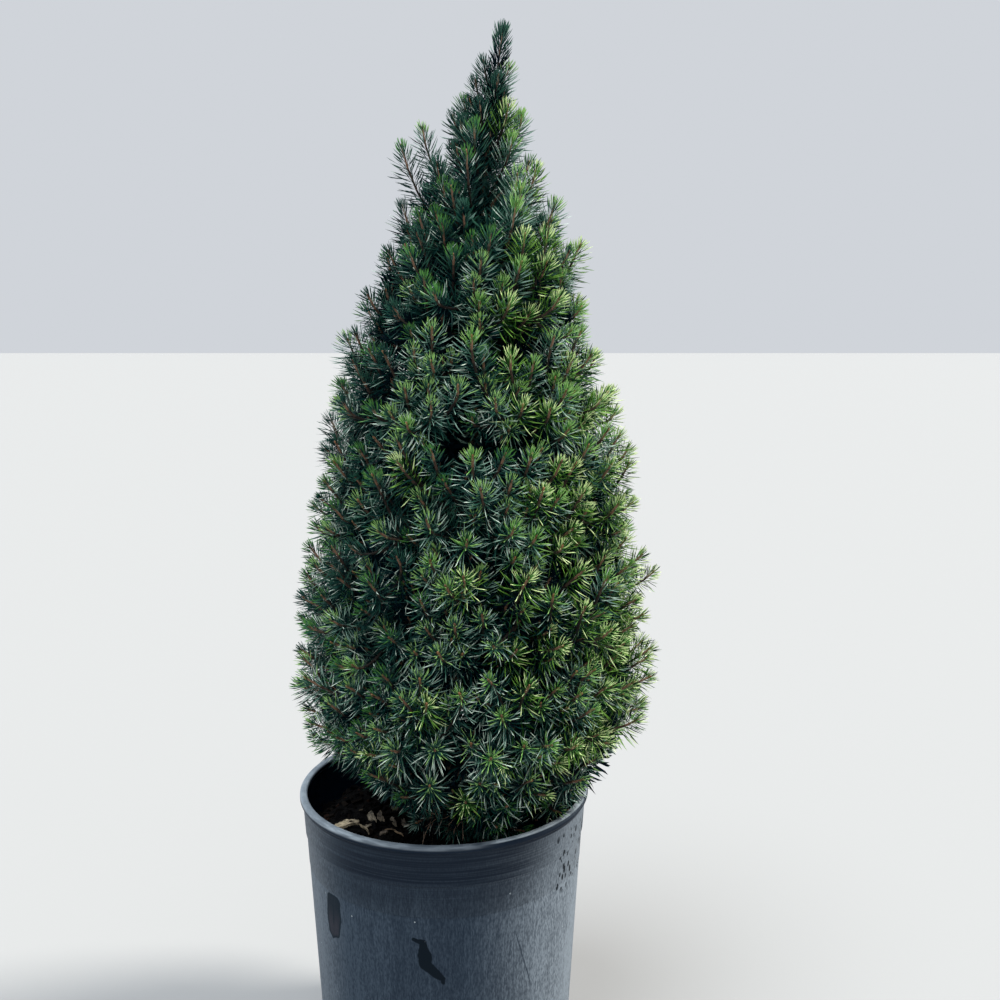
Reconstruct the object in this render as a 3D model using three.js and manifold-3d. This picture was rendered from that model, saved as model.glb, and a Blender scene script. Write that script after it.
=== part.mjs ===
// A dwarf conical spruce growing in a round black nursery pot.
//
// The pot stands on its flat underside, with the origin at the middle of that underside and +Z up.
// One trunk rises from the potting mix a little to the right of the pot's middle and leans right near
// its tip. Whorls of boughs climb it, and each bough carries one dense mass of needle tufts. The
// masses share the crown out between them, so none reaches into its neighbour's space. In the spire
// the masses stand on the trunk itself, and the leader is the trunk's own last shoot.

import * as THREE from "three"
import { mergeVertices } from "three/addons/utils/BufferGeometryUtils.js"
import Module from "manifold-3d"

const wasm = await Module()
wasm.setup()

// Driving sizes in millimetres and degrees. Heights are measured from the pot's underside.
const POT_HEIGHT = 168
const POT_TOP_RADIUS = 82.5
const POT_FOOT_RADIUS = 70.8
const POT_WALL = 1.6
const SOIL_TOP = 148
const PLANT_TOP = 584
const TRUNK_TOP = 534
const TRUNK_FOOT_RADIUS = 6.2
const TRUNK_TIP_RADIUS = 1.1
const ROOT_FLARE = 3.2
const FLARE_HEIGHT = 9
const FOOT_OFFSET = 18
const LEAN = 16
const LEAN_START = 430
const CLEARANCE = 0.3
const CELL_MARGIN = 0.8

// A bough tapers from the trunk to the depth, as a share of the crown's radius, where its mass starts.
const BOUGH_END = 0.4
const BOUGH_FOOT_RADIUS = 2.6
const BOUGH_TIP_RADIUS = 1.7

// The crown's mean radius at the heights where its outline turns.
const CROWN_OUTLINE = [
  [150, 48],
  [170, 68],
  [187, 81],
  [202, 94],
  [228, 102],
  [262, 100],
  [316, 93],
  [366, 86],
  [420, 69],
  [470, 52],
  [505, 37],
  [545, 15],
  [572, 8],
  [584, 3],
]

// Each tier of boughs: how many, the way the first one points, where the tier starts on the trunk
// and on the crown's surface, the tufts across and up each mass, and how deep its core reaches out.
// Azimuth 0 is +X, to the right in the photograph, and -90 faces the front.
const TIERS = [
  { name: "skirt", boughs: 5, turn: -90, root: 152, edge: 154, across: 4, up: 2, core: 0.86 },
  { name: "low", boughs: 5, turn: -54, root: 170, edge: 208, across: 4, up: 2, core: 0.86 },
  { name: "waist", boughs: 5, turn: -72, root: 205, edge: 264, across: 4, up: 2, core: 0.86 },
  { name: "middle", boughs: 4, turn: -90, root: 252, edge: 322, across: 4, up: 2, core: 0.84 },
  { name: "shoulder", boughs: 4, turn: -45, root: 304, edge: 380, across: 4, up: 2, core: 0.83 },
  { name: "high", boughs: 3, turn: -90, root: 358, edge: 432, across: 4, up: 2, core: 0.8 },
  { name: "spire", boughs: 3, turn: -60, root: 415, edge: 480, across: 3, up: 3, core: 0.62 },
]
const SPIRE_ROOT_END = 528
const SPIRE_EDGE_END = 552

// Shoots that stand out of the crown's outline: azimuth, distance from the trunk, height of the tip.
const LONG_SHOOTS = [
  { azimuth: 178, radius: 37, height: 536 },
  { azimuth: 190, radius: 47, height: 525 },
  { azimuth: 2, radius: 41, height: 497 },
  { azimuth: 183, radius: 70, height: 425 },
  { azimuth: 178, radius: 76, height: 400 },
  { azimuth: -8, radius: 56, height: 474 },
  { azimuth: 3, radius: 104, height: 294 },
  { azimuth: -6, radius: 102, height: 236 },
  { azimuth: 181, radius: 100, height: 228 },
  { azimuth: 176, radius: 97, height: 288 },
]

// A full-grown shoot's tuft: the length it clothes, how far its needle points stand out, how far
// the valleys between them do, and how far back from the tip both lie.
const TUFT_LENGTH = 30
const TUFT_POINTS = 5
const TUFT_REACH = 15
const VALLEY_REACH = 3.6
const POINTS_BACK = 8
const VALLEYS_BACK = 20

// A tuft's root is sunk this far in the core, and one whose root lies further off gets a twig.
const ROOT_DEPTH = 2
const TWIG_FROM = 22
const TWIG_SINK = 9
const TWIG_RADII = [1.5, 0.9]

// The sizes tried for a shoot, as shares of full size, and the ways towards the fork for its root.
const SIZE_SHARES = [1, 0.85, 0.7, 0.55]
const ROOT_WAYS = [0, 0.2, 0.4, 0.6, 0.8]

// The crown's underside stands open here, at the left, where the potting mix shows: the middle of the
// opening and its half width in degrees, and the height below which no shoot's tip stands there.
const OPEN_AZIMUTH = -165
const OPEN_HALF_WIDTH = 46
const OPEN_BELOW = 180

// How unevenly the shoots are spread over a mass, how far from its middle they may stand, and how far
// out the furthest tips reach, as a share of the crown's radius.
const TIP_DEPTH = 1.025
const GRID_JITTER = 0.35
const DEPTH_JITTER = 0.06
const SIDE_LIMIT = 0.86
const AZIMUTH_JITTER = 0.5
const RISE_JITTER = 18

// The core fills this share of its cell across and up, and its corners are squared by the power.
const CORE_ACROSS = 0.92
const CORE_RISE = 0.47
const CORE_SQUARENESS = 0.3

const BARK = new THREE.MeshStandardMaterial({ color: 0x5a4130, roughness: 0.9 })
const PLASTIC = new THREE.MeshStandardMaterial({ color: 0x33383d, roughness: 0.55 })
const POTTING_MIX = new THREE.MeshStandardMaterial({ color: 0x2a211a, roughness: 1 })
const NEEDLES = new THREE.MeshStandardMaterial({ color: 0x2f5a2a, roughness: 0.6 })

const clamp = THREE.MathUtils.clamp
const lerp = THREE.MathUtils.lerp
const radians = THREE.MathUtils.degToRad

// A repeatable stream of numbers from 0 to 1.
function seeded(seed) {
  let state = seed
  return () => {
    state = (state * 1664525 + 1013904223) % 4294967296
    return state / 4294967296
  }
}

// Height by height reading of a list of [height, value] points.
function readOutline(points, height) {
  const last = points.length - 1
  if (height <= points[0][0]) return points[0][1]
  if (height >= points[last][0]) return points[last][1]
  const next = points.findIndex(([z]) => z > height)
  const [z0, v0] = points[next - 1]
  const [z1, v1] = points[next]
  return lerp(v0, v1, (height - z0) / (z1 - z0))
}

const crownRadius = (height) => readOutline(CROWN_OUTLINE, height)

// The trunk's centre line.
function trunkLine(height) {
  const bend = clamp((height - LEAN_START) / (PLANT_TOP - LEAN_START), 0, 1)
  return new THREE.Vector3(FOOT_OFFSET + LEAN * bend ** 1.5, 0, height)
}

// The trunk's radius, with the root flare in its lowest part.
function trunkRadius(height) {
  const rise = (height - SOIL_TOP) / (TRUNK_TOP - SOIL_TOP)
  const flare = ROOT_FLARE * Math.exp(-(height - SOIL_TOP) / FLARE_HEIGHT)
  return lerp(TRUNK_FOOT_RADIUS, TRUNK_TIP_RADIUS, rise ** 0.85) + flare
}

// A closed three.js geometry as a solid that can be joined and cut.
function solidOf(geometry) {
  const bare = geometry.clone()
  bare.deleteAttribute("normal")
  bare.deleteAttribute("uv")
  const merged = mergeVertices(bare, 1e-4)
  return new wasm.Manifold(new wasm.Mesh({
    numProp: 3,
    vertProperties: new Float32Array(merged.attributes.position.array),
    triVerts: new Uint32Array(merged.index.array),
  }))
}

// The largest connected body of a solid, as a three.js geometry.
function geometryOf(solid) {
  const bodies = solid.decompose().sort((a, b) => b.volume() - a.volume())
  const { vertProperties, triVerts } = bodies[0].getMesh()
  const geometry = new THREE.BufferGeometry()
  geometry.setAttribute("position", new THREE.BufferAttribute(vertProperties, 3))
  geometry.setIndex(new THREE.BufferAttribute(triVerts, 1))
  return geometry
}

function namedMesh(name, solid, material) {
  const mesh = new THREE.Mesh(geometryOf(solid), material)
  mesh.name = name
  return mesh
}

// The turn that takes +Y, the way three.js cylinders and spheres stand, to a direction.
const turnTo = (direction) =>
  new THREE.Quaternion().setFromUnitVectors(new THREE.Vector3(0, 1, 0), direction)

// A straight tapering stick between two points.
function stick(start, end, startRadius, endRadius, sides) {
  const direction = end.clone().sub(start)
  const length = direction.length()
  const geometry = new THREE.CylinderGeometry(endRadius, startRadius, length, sides, 1)
  geometry.translate(0, length / 2, 0).applyQuaternion(turnTo(direction.normalize()))
  return solidOf(geometry.translate(start.x, start.y, start.z))
}

// A tuft of needles: a slim double cone whose waist runs out into needle points all round. It
// points to its tip in the given direction, and its tail tapers back to the root.
function tuft(root, tip, direction, size) {
  const geometry = new THREE.SphereGeometry(1, 2 * TUFT_POINTS, 2)
  const position = geometry.attributes.position
  const turn = turnTo(direction)
  for (let i = 0; i < position.count; i++) {
    const corner = new THREE.Vector3().fromBufferAttribute(position, i)
    const level = Math.round(corner.y)
    const angle = Math.atan2(corner.z, corner.x)
    const isPoint = Math.round((angle * TUFT_POINTS) / Math.PI + 2 * TUFT_POINTS) % 2 === 0
    const back = isPoint ? POINTS_BACK : VALLEYS_BACK
    corner.multiplyScalar(size * (isPoint ? TUFT_REACH : VALLEY_REACH)).applyQuaternion(turn)
    corner.add(tip).addScaledVector(direction, -size * back)
    if (level > 0) corner.copy(tip)
    if (level < 0) corner.copy(root)
    position.setXYZ(i, corner.x, corner.y, corner.z)
  }
  return solidOf(geometry)
}

// The share of the crown that one mass fills, in its own three coordinates: across from -1 to 1,
// rise from 0 to 1 and depth from 0 at the trunk to 1 at the crown's surface.
function cellOf(tier, index) {
  const here = TIERS[tier]
  const above = TIERS[tier + 1] ?? { root: SPIRE_ROOT_END, edge: SPIRE_EDGE_END }
  const halfAngle = Math.PI / here.boughs
  const middle = radians(here.turn + (index * 360) / here.boughs)
  const edgeSlope = ({ root, edge }) => (edge - root) / crownRadius(edge)

  function place(across, rise, depth) {
    const edge = lerp(here.edge, above.edge, rise)
    const height = lerp(lerp(here.root, above.root, rise), edge, depth)
    const radius = crownRadius(edge) * depth
    const angle = middle + across * halfAngle
    return trunkLine(height).add(new THREE.Vector3(radius * Math.cos(angle), radius * Math.sin(angle), 0))
  }

  function holds(point, margin) {
    const centre = trunkLine(point.z)
    const radius = Math.hypot(point.x - centre.x, point.y - centre.y)
    const angle = Math.atan2(point.y - centre.y, point.x - centre.x) - middle
    const aside = Math.abs(Math.atan2(Math.sin(angle), Math.cos(angle)))
    const toSide = radius * Math.sin(halfAngle - aside)
    const lowest = here.root + radius * edgeSlope(here)
    const highest = above.root + radius * edgeSlope(above)
    return toSide > margin && point.z > lowest + margin && point.z < highest - margin
  }

  return { here, middle, place, holds }
}

// How steeply the shoots rise, in degrees, from a low slant in the skirt to upright at the top.
const shootRise = (height) => 16 + 64 * clamp((height - 165) / 380, 0, 1) ** 0.8

// The way a shoot points at a place on the crown.
function shootDirection(point, draw) {
  const centre = trunkLine(point.z)
  const azimuth = Math.atan2(point.y - centre.y, point.x - centre.x) + (draw() - 0.5) * AZIMUTH_JITTER
  const rise = radians(shootRise(point.z) + (draw() - 0.5) * RISE_JITTER)
  return new THREE.Vector3(
    Math.cos(azimuth) * Math.cos(rise),
    Math.sin(azimuth) * Math.cos(rise),
    Math.sin(rise),
  )
}

// Whether a tip stands in the opening at the crown's lower left.
function inOpening(tip) {
  const centre = trunkLine(tip.z)
  const aside = Math.atan2(tip.y - centre.y, tip.x - centre.x) - radians(OPEN_AZIMUTH)
  return tip.z < OPEN_BELOW && Math.cos(aside) > Math.cos(radians(OPEN_HALF_WIDTH))
}

// The tips of one mass's shoots: an uneven grid over the cell's outer face, with one shoot fewer in
// every other row, then its long shoots.
function shootTips(cell, draw) {
  const { across, up: rows } = cell.here
  const tips = []
  for (let row = 0; row < rows; row++) {
    const columns = across - (row % 2)
    for (let column = 0; column < columns; column++) {
      const side = ((column + 0.5 + (draw() - 0.5) * GRID_JITTER) / columns) * 2 - 1
      const rise = (row + 0.5 + (draw() - 0.5) * GRID_JITTER) / rows
      const depth = TIP_DEPTH - DEPTH_JITTER * draw()
      const tip = cell.place(clamp(side, -SIDE_LIMIT, SIDE_LIMIT), rise, depth)
      if (!inOpening(tip)) tips.push(tip)
    }
  }
  for (const { azimuth, radius, height } of LONG_SHOOTS) {
    const angle = radians(azimuth)
    const tip = trunkLine(height).add(
      new THREE.Vector3(radius * Math.cos(angle), radius * Math.sin(angle), 0),
    )
    if (cell.holds(tip, 2)) tips.push(tip)
  }
  return tips
}

const touches = (solid, others) => others.some((other) => !solid.intersect(other).isEmpty())

function staysIn(solid, cell) {
  const { vertProperties } = solid.getMesh()
  for (let i = 0; i < vertProperties.length; i += 3) {
    const corner = new THREE.Vector3(vertProperties[i], vertProperties[i + 1], vertProperties[i + 2])
    if (!cell.holds(corner, CELL_MARGIN)) return false
  }
  return true
}

// Shoots are small in the spire and full size lower down.
const shootScale = (height) => lerp(1, 0.62, clamp((height - 400) / 130, 0, 1))

// Whether a point lies well inside a solid.
function sunkIn(solid, point) {
  const probe = solidOf(new THREE.OctahedronGeometry(ROOT_DEPTH).translate(point.x, point.y, point.z))
  return probe.subtract(solid).isEmpty()
}

// One shoot, or nothing where it would leave the cell or touch a limb. A shoot that doesn't fit is
// tried again smaller and set further in. Its tuft's tail is drawn towards its fork until the root
// is sunk in the core, and a shoot that stands far out is carried there by a twig.
function shoot(cell, heart, fork, tip, direction, obstacles) {
  for (const share of SIZE_SHARES) {
    const size = share * shootScale(tip.z)
    const end = tip.clone().lerp(fork, 0.3 * (1 - share))
    const base = end.clone().addScaledVector(direction, -TUFT_LENGTH * size)
    const roots = ROOT_WAYS.map((way) => base.clone().lerp(fork, way))
    const root = roots.find((point) => sunkIn(heart, point)) ?? fork
    const onTwig = root.distanceTo(base) > TWIG_FROM
    const head = tuft(onTwig ? base : root, end, direction, size)
    if (!staysIn(head, cell) || touches(head, obstacles)) continue
    if (!onTwig) return head
    return head.add(stick(root, base.addScaledVector(direction, TWIG_SINK * size), ...TWIG_RADII, 3))
  }
  return null
}

// The dense inside of a mass: a ball pressed into the cell's own coordinates, with its sides pushed
// out towards the cell's corners.
function core(cell, inner, outer) {
  const geometry = new THREE.SphereGeometry(1, 8, 4)
  const position = geometry.attributes.position
  const squared = (value) => Math.sign(value) * Math.abs(Number(value.toFixed(6))) ** CORE_SQUARENESS
  for (let i = 0; i < position.count; i++) {
    const across = squared(position.getX(i)) * CORE_ACROSS
    const rise = 0.5 + squared(position.getY(i)) * CORE_RISE
    const depth = lerp(inner, outer, 0.5 + squared(position.getZ(i)) * 0.5)
    const point = cell.place(across, rise, depth)
    position.setXYZ(i, point.x, point.y, point.z)
  }
  return solidOf(geometry)
}

// A round body made by turning an outline of [radius, height] points about the pot's axis.
function turned(outline, segments) {
  const points = outline.map(([radius, height]) => new THREE.Vector2(radius, height))
  return solidOf(new THREE.LatheGeometry(points, segments).rotateX(Math.PI / 2))
}

// The pot's outer wall: a plain taper, wider by a small step in the stacking band under the lip.
const BAND_FOOT = 145
const BAND_STEP = 0.8
const LIP_HEIGHT = 4
const LIP_WIDTH = 4.3
const potRadius = (height) => POT_FOOT_RADIUS + 0.0562 * height

function pot() {
  const corner = 5
  const inner = (height) => potRadius(height) - POT_WALL
  const lipFoot = POT_HEIGHT - LIP_HEIGHT
  const lipInner = POT_TOP_RADIUS - LIP_WIDTH
  const rounded = [0, 45, 90].map((degrees) => [
    potRadius(corner) - corner * (1 - Math.sin(radians(degrees))),
    corner * (1 - Math.cos(radians(degrees))),
  ])
  const body = turned([
    [0, 0],
    ...rounded,
    [potRadius(BAND_FOOT - 1), BAND_FOOT - 1],
    [potRadius(BAND_FOOT) + BAND_STEP, BAND_FOOT + 0.5],
    [potRadius(lipFoot) + BAND_STEP, lipFoot - 1],
    [POT_TOP_RADIUS - 0.6, lipFoot - 0.4],
    [POT_TOP_RADIUS, lipFoot + 0.6],
    [POT_TOP_RADIUS, POT_HEIGHT - 1.2],
    [POT_TOP_RADIUS - 1.2, POT_HEIGHT],
    [lipInner + 1, POT_HEIGHT],
    [lipInner, POT_HEIGHT - 1],
    [inner(lipFoot) + BAND_STEP, lipFoot - 2],
    [inner(BAND_FOOT) + BAND_STEP, BAND_FOOT + 0.5],
    [inner(BAND_FOOT - 1), BAND_FOOT - 1],
    [inner(corner), corner + 1],
    [inner(corner) - 3.5, POT_WALL + 0.6],
    [0, POT_WALL + 0.6],
  ], 40)
  const holes = [45, 135, 225, 315].map((degrees) => {
    const way = new THREE.Vector3(Math.cos(radians(degrees)), Math.sin(radians(degrees)), 0)
    const start = way.clone().multiplyScalar(POT_FOOT_RADIUS - 9).setZ(1.5)
    return stick(start, start.clone().addScaledVector(way, 20), 6, 6, 10)
  })
  return holes.reduce((left, hole) => left.subtract(hole), body)
}

// The potting mix fills the pot to a flat top that sinks a little at the wall.
function soil() {
  const side = (height) => potRadius(height) - POT_WALL - CLEARANCE
  const floor = POT_WALL + 0.6 + CLEARANCE
  return turned([
    [0, floor],
    [side(6) - 4, floor],
    [side(6), 7],
    [side(SOIL_TOP - 8), SOIL_TOP - 8],
    [side(SOIL_TOP - 8) - 4, SOIL_TOP - 2.5],
    [side(SOIL_TOP) - 14, SOIL_TOP],
    [0, SOIL_TOP],
  ], 24)
}

// The trunk from its flat cut on the potting mix to its tip. Grown makes it that much thicker.
function trunk(grown = 0) {
  const rings = 14
  const foot = SOIL_TOP + CLEARANCE - grown
  const geometry = new THREE.CylinderGeometry(1, 1, 1, 8, rings)
  const position = geometry.attributes.position
  for (let i = 0; i < position.count; i++) {
    const share = (position.getY(i) + 0.5) ** 1.3
    const height = lerp(foot, TRUNK_TOP + grown, share)
    const centre = trunkLine(height)
    const radius = trunkRadius(Math.max(height, SOIL_TOP)) + grown
    position.setXYZ(
      i,
      centre.x + radius * position.getX(i),
      centre.y - radius * position.getZ(i),
      height,
    )
  }
  return solidOf(geometry)
}

// A bough runs out and up along the middle of its cell, from the trunk's bark to its mass.
function bough(cell, trunkCut) {
  const start = cell.place(0, 0.5, 0)
  const end = cell.place(0, 0.5, BOUGH_END)
  const scale = shootScale(start.z)
  return stick(start, end, BOUGH_FOOT_RADIUS * scale, BOUGH_TIP_RADIUS * scale, 5).subtract(trunkCut)
}

// A mass on its stem. stemStart is the depth where the stem begins.
function mass(cell, seed, stemStart, obstacles) {
  const draw = seeded(seed)
  const start = cell.place(0, 0.5, stemStart)
  const end = cell.place(0, 0.5, 0.92 * cell.here.core)
  const way = end.clone().sub(start).normalize()
  const stemFoot = start.clone().addScaledVector(way, CLEARANCE)
  const stemRadius = BOUGH_TIP_RADIUS * shootScale(start.z)
  const heart = core(cell, Math.max(stemStart + 0.08, 0.3), cell.here.core)
  const pieces = [stick(stemFoot, end, stemRadius, 1.2, 4), heart]
  for (const tip of shootTips(cell, draw)) {
    const direction = shootDirection(tip, draw)
    const fork = stemFoot.clone().lerp(end, 0.35 + 0.6 * draw())
    const made = shoot(cell, heart, fork, tip, direction, obstacles)
    if (made) pieces.push(made)
  }
  return wasm.Manifold.union(pieces)
}

// The leader: the trunk's own last shoot, with its needles close about it.
function leader() {
  const foot = trunkLine(TRUNK_TOP).add(new THREE.Vector3(0, 0, CLEARANCE))
  const tip = trunkLine(PLANT_TOP)
  const way = tip.clone().sub(foot).normalize()
  const length = tip.distanceTo(foot)
  const pieces = [stick(foot, foot.clone().addScaledVector(way, length - 6), TRUNK_TIP_RADIUS, 0.7, 5)]
  for (const share of [0.44, 0.62, 0.8, 1]) {
    const end = foot.clone().lerp(tip, share)
    const size = lerp(0.8, 0.55, share)
    pieces.push(tuft(end.clone().addScaledVector(way, -TUFT_LENGTH * size), end, way, size))
  }
  return wasm.Manifold.union(pieces)
}

const plant = new THREE.Group()
const potSolid = pot()
const soilSolid = soil()
const trunkSolid = trunk()
const trunkCut = trunk(CLEARANCE)
plant.add(namedMesh("pot", potSolid, PLASTIC))
plant.add(namedMesh("potting_mix", soilSolid, POTTING_MIX))
plant.add(namedMesh("trunk", trunkSolid, BARK))
plant.add(namedMesh("leader_tuft", leader(), NEEDLES))

TIERS.forEach((tier, level) => {
  const onTrunk = tier.name === "spire"
  for (let index = 0; index < tier.boughs; index++) {
    const cell = cellOf(level, index)
    const number = index + 1
    const obstacles = [potSolid, soilSolid, trunkCut]
    if (!onTrunk) {
      const limb = bough(cell, trunkCut)
      obstacles.push(limb)
      plant.add(namedMesh(`bough_${tier.name}_${number}`, limb, BARK))
    }
    const seed = 1000 * (level + 1) + 10 * number
    const foliage = mass(cell, seed, onTrunk ? 0 : BOUGH_END, obstacles)
    const clear = onTrunk ? foliage.subtract(trunkCut) : foliage
    plant.add(namedMesh(`needles_${tier.name}_${number}`, clear, NEEDLES))
  }
})

export default plant
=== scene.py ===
# A dwarf conical spruce in a round black nursery pot, dressed in its bark, needles, dust and litter.
# The plant's own sizes are in millimetres, as its grower would measure them. Meshes are in metres.
import math
from collections import namedtuple

import bpy
import numpy as np
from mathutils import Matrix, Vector, noise


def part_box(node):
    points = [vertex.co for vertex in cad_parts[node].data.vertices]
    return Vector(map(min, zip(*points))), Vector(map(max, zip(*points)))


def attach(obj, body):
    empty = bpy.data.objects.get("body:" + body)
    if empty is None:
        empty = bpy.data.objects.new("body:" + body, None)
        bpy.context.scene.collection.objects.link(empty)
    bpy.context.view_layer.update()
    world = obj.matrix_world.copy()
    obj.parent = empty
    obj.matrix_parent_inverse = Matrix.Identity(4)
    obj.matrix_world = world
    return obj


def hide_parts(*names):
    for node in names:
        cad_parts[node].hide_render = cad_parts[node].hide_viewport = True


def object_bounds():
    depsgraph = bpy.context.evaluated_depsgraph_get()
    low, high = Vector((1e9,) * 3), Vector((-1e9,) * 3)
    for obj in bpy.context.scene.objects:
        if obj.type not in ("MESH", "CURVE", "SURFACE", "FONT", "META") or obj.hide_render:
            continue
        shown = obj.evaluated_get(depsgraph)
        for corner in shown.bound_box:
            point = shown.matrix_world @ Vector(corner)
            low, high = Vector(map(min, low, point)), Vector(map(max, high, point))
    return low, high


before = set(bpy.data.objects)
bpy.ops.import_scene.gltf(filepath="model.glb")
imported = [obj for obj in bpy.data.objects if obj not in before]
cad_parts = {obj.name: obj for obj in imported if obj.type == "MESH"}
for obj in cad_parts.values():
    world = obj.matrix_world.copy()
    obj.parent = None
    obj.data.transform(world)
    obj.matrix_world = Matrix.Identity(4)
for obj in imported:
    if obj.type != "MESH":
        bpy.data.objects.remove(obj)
cad_low, cad_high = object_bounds()

# The view: a hand-held picture from a little above the crown's middle, looking slightly down. The pot
# stands left of the picture's middle and its foot is below the picture's edge.
CAMERA_PLACE = (0.0319, -0.593, 0.4215)
CAMERA_DOWN = 8.54
CAMERA_LENS = 38.84

view_data = bpy.data.cameras.new("view")
view_data.lens = CAMERA_LENS
view_data.sensor_width = 36
view_data.clip_start = 0.02
view = bpy.data.objects.new("view", view_data)
view.location = CAMERA_PLACE
view.rotation_euler = (math.radians(90 - CAMERA_DOWN), 0, 0)
bpy.context.scene.collection.objects.link(view)
bpy.context.scene.camera = view

# The pot: a thin nursery pot moulded in black plastic, with a rolled lip, a stacking band under the lip
# and four drain holes through the corner of its foot. Its outline is turned from the middle of the
# underside, up the outer wall, over the lip and down to the inner floor.
MM = 0.001
pot_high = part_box("pot")[1]
POT_HEIGHT = pot_high.z / MM
LIP_RADIUS = pot_high.x / MM
FOOT_RADIUS = 70.8
WALL_SLOPE = 0.0562
WALL = 1.6
BAND_FOOT = 145
BAND_STEP = 0.8
SECOND_LINE = 127.5
LIP_FOOT = POT_HEIGHT - 4
LIP_INNER = LIP_RADIUS - 4.3
POT_SIDES = 160
DRAIN_HOLES = 4
DRAIN_RADIUS = 6


def wall_radius(height):
    """The pot's outer radius below the band."""
    return FOOT_RADIUS + WALL_SLOPE * height


def arc(middle, radius, start, end, steps):
    """Points on an arc in the outline's plane; angles in degrees from straight out, positive up."""
    angles = np.radians(np.linspace(start, end, steps + 1))
    return [(middle[0] + radius * math.cos(a), middle[1] + radius * math.sin(a)) for a in angles]


def select_only(piece):
    bpy.ops.object.select_all(action="DESELECT")
    piece.select_set(True)
    bpy.context.view_layer.objects.active = piece


def drawn_body(name, rings, sides):
    """A closed body of level rings, each a middle and a radius: the first is filled and drawn on."""
    middle, radius = rings[0]
    bpy.ops.object.select_all(action="DESELECT")
    bpy.ops.mesh.primitive_circle_add(
        vertices=sides, radius=radius * MM, fill_type="NGON", location=middle * MM
    )
    body = bpy.context.object
    body.name = name
    bpy.ops.object.transform_apply(location=True)
    bpy.ops.object.mode_set(mode="EDIT")
    bpy.ops.mesh.select_all(action="SELECT")
    for next_middle, next_radius in rings[1:]:
        step = (next_middle - middle) * MM
        bpy.ops.mesh.extrude_region_move(TRANSFORM_OT_translate={"value": tuple(step)})
        share = next_radius / radius
        centre = (next_middle[0] * MM, next_middle[1] * MM, 0)
        bpy.ops.transform.resize(value=(share, share, 1), center_override=centre)
        middle, radius = next_middle, next_radius
    bpy.ops.mesh.select_all(action="SELECT")
    bpy.ops.mesh.normals_make_consistent(inside=False)
    bpy.ops.object.mode_set(mode="OBJECT")
    return body


def turned_body(name, outline, sides):
    """A body turned about the pot's axis, from an outline of radii and heights."""
    return drawn_body(name, [(np.array([0, 0, height]), radius) for radius, height in outline], sides)


pot_outline = [
    (30, 0.8),
    (58, 0.8),
    (59, 0),
    *arc((wall_radius(5) - 5, 5), 5, -90, 0, 6),
    (wall_radius(SECOND_LINE - 1), SECOND_LINE - 1),
    (wall_radius(SECOND_LINE) - 0.15, SECOND_LINE - 0.3),
    (wall_radius(SECOND_LINE) + 0.2, SECOND_LINE + 0.4),
    (wall_radius(BAND_FOOT - 1) + 0.15, BAND_FOOT - 1),
    (wall_radius(BAND_FOOT) + 0.35, BAND_FOOT - 0.4),
    (wall_radius(BAND_FOOT) + BAND_STEP, BAND_FOOT + 0.6),
    (wall_radius(LIP_FOOT) + BAND_STEP, LIP_FOOT - 1.2),
    *arc((LIP_RADIUS - 1.1, LIP_FOOT + 1.1), 1.1, -80, 0, 3),
    *arc((LIP_RADIUS - 1.6, POT_HEIGHT - 1.6), 1.6, 0, 90, 5),
    *arc((LIP_INNER + 1.3, POT_HEIGHT - 1.5), 1.3, 90, 180, 4),
    (wall_radius(LIP_FOOT) - WALL + BAND_STEP + 0.4, LIP_FOOT - 0.6),
    (wall_radius(LIP_FOOT) - WALL + BAND_STEP, LIP_FOOT - 2.4),
    (wall_radius(BAND_FOOT) - WALL + BAND_STEP, BAND_FOOT + 0.6),
    (wall_radius(BAND_FOOT) - WALL, BAND_FOOT - 1),
    (wall_radius(6) - WALL, 6.6),
    (wall_radius(4) - WALL - 1, 4),
    (wall_radius(2) - WALL - 3.5, 2.2),
    (20, 2.2),
]
pot = turned_body("nursery_pot", pot_outline, POT_SIDES)

for hole in range(DRAIN_HOLES):
    azimuth = 2 * math.pi * (hole + 0.5) / DRAIN_HOLES
    reach = (FOOT_RADIUS + 1) * MM
    bpy.ops.object.select_all(action="DESELECT")
    bpy.ops.mesh.primitive_cylinder_add(
        vertices=32,
        radius=DRAIN_RADIUS * MM,
        depth=20 * MM,
        location=(reach * math.cos(azimuth), reach * math.sin(azimuth), 1.5 * MM),
        rotation=(0, math.pi / 2, azimuth),
    )
    cutter = bpy.context.object
    cut = pot.modifiers.new("drain hole", "BOOLEAN")
    cut.operation = "DIFFERENCE"
    cut.solver = "EXACT"
    cut.object = cutter
    select_only(pot)
    bpy.ops.object.modifier_apply(modifier=cut.name)
    bpy.data.objects.remove(cutter)
select_only(pot)
bpy.ops.object.shade_smooth_by_angle(angle=math.radians(35))


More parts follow.
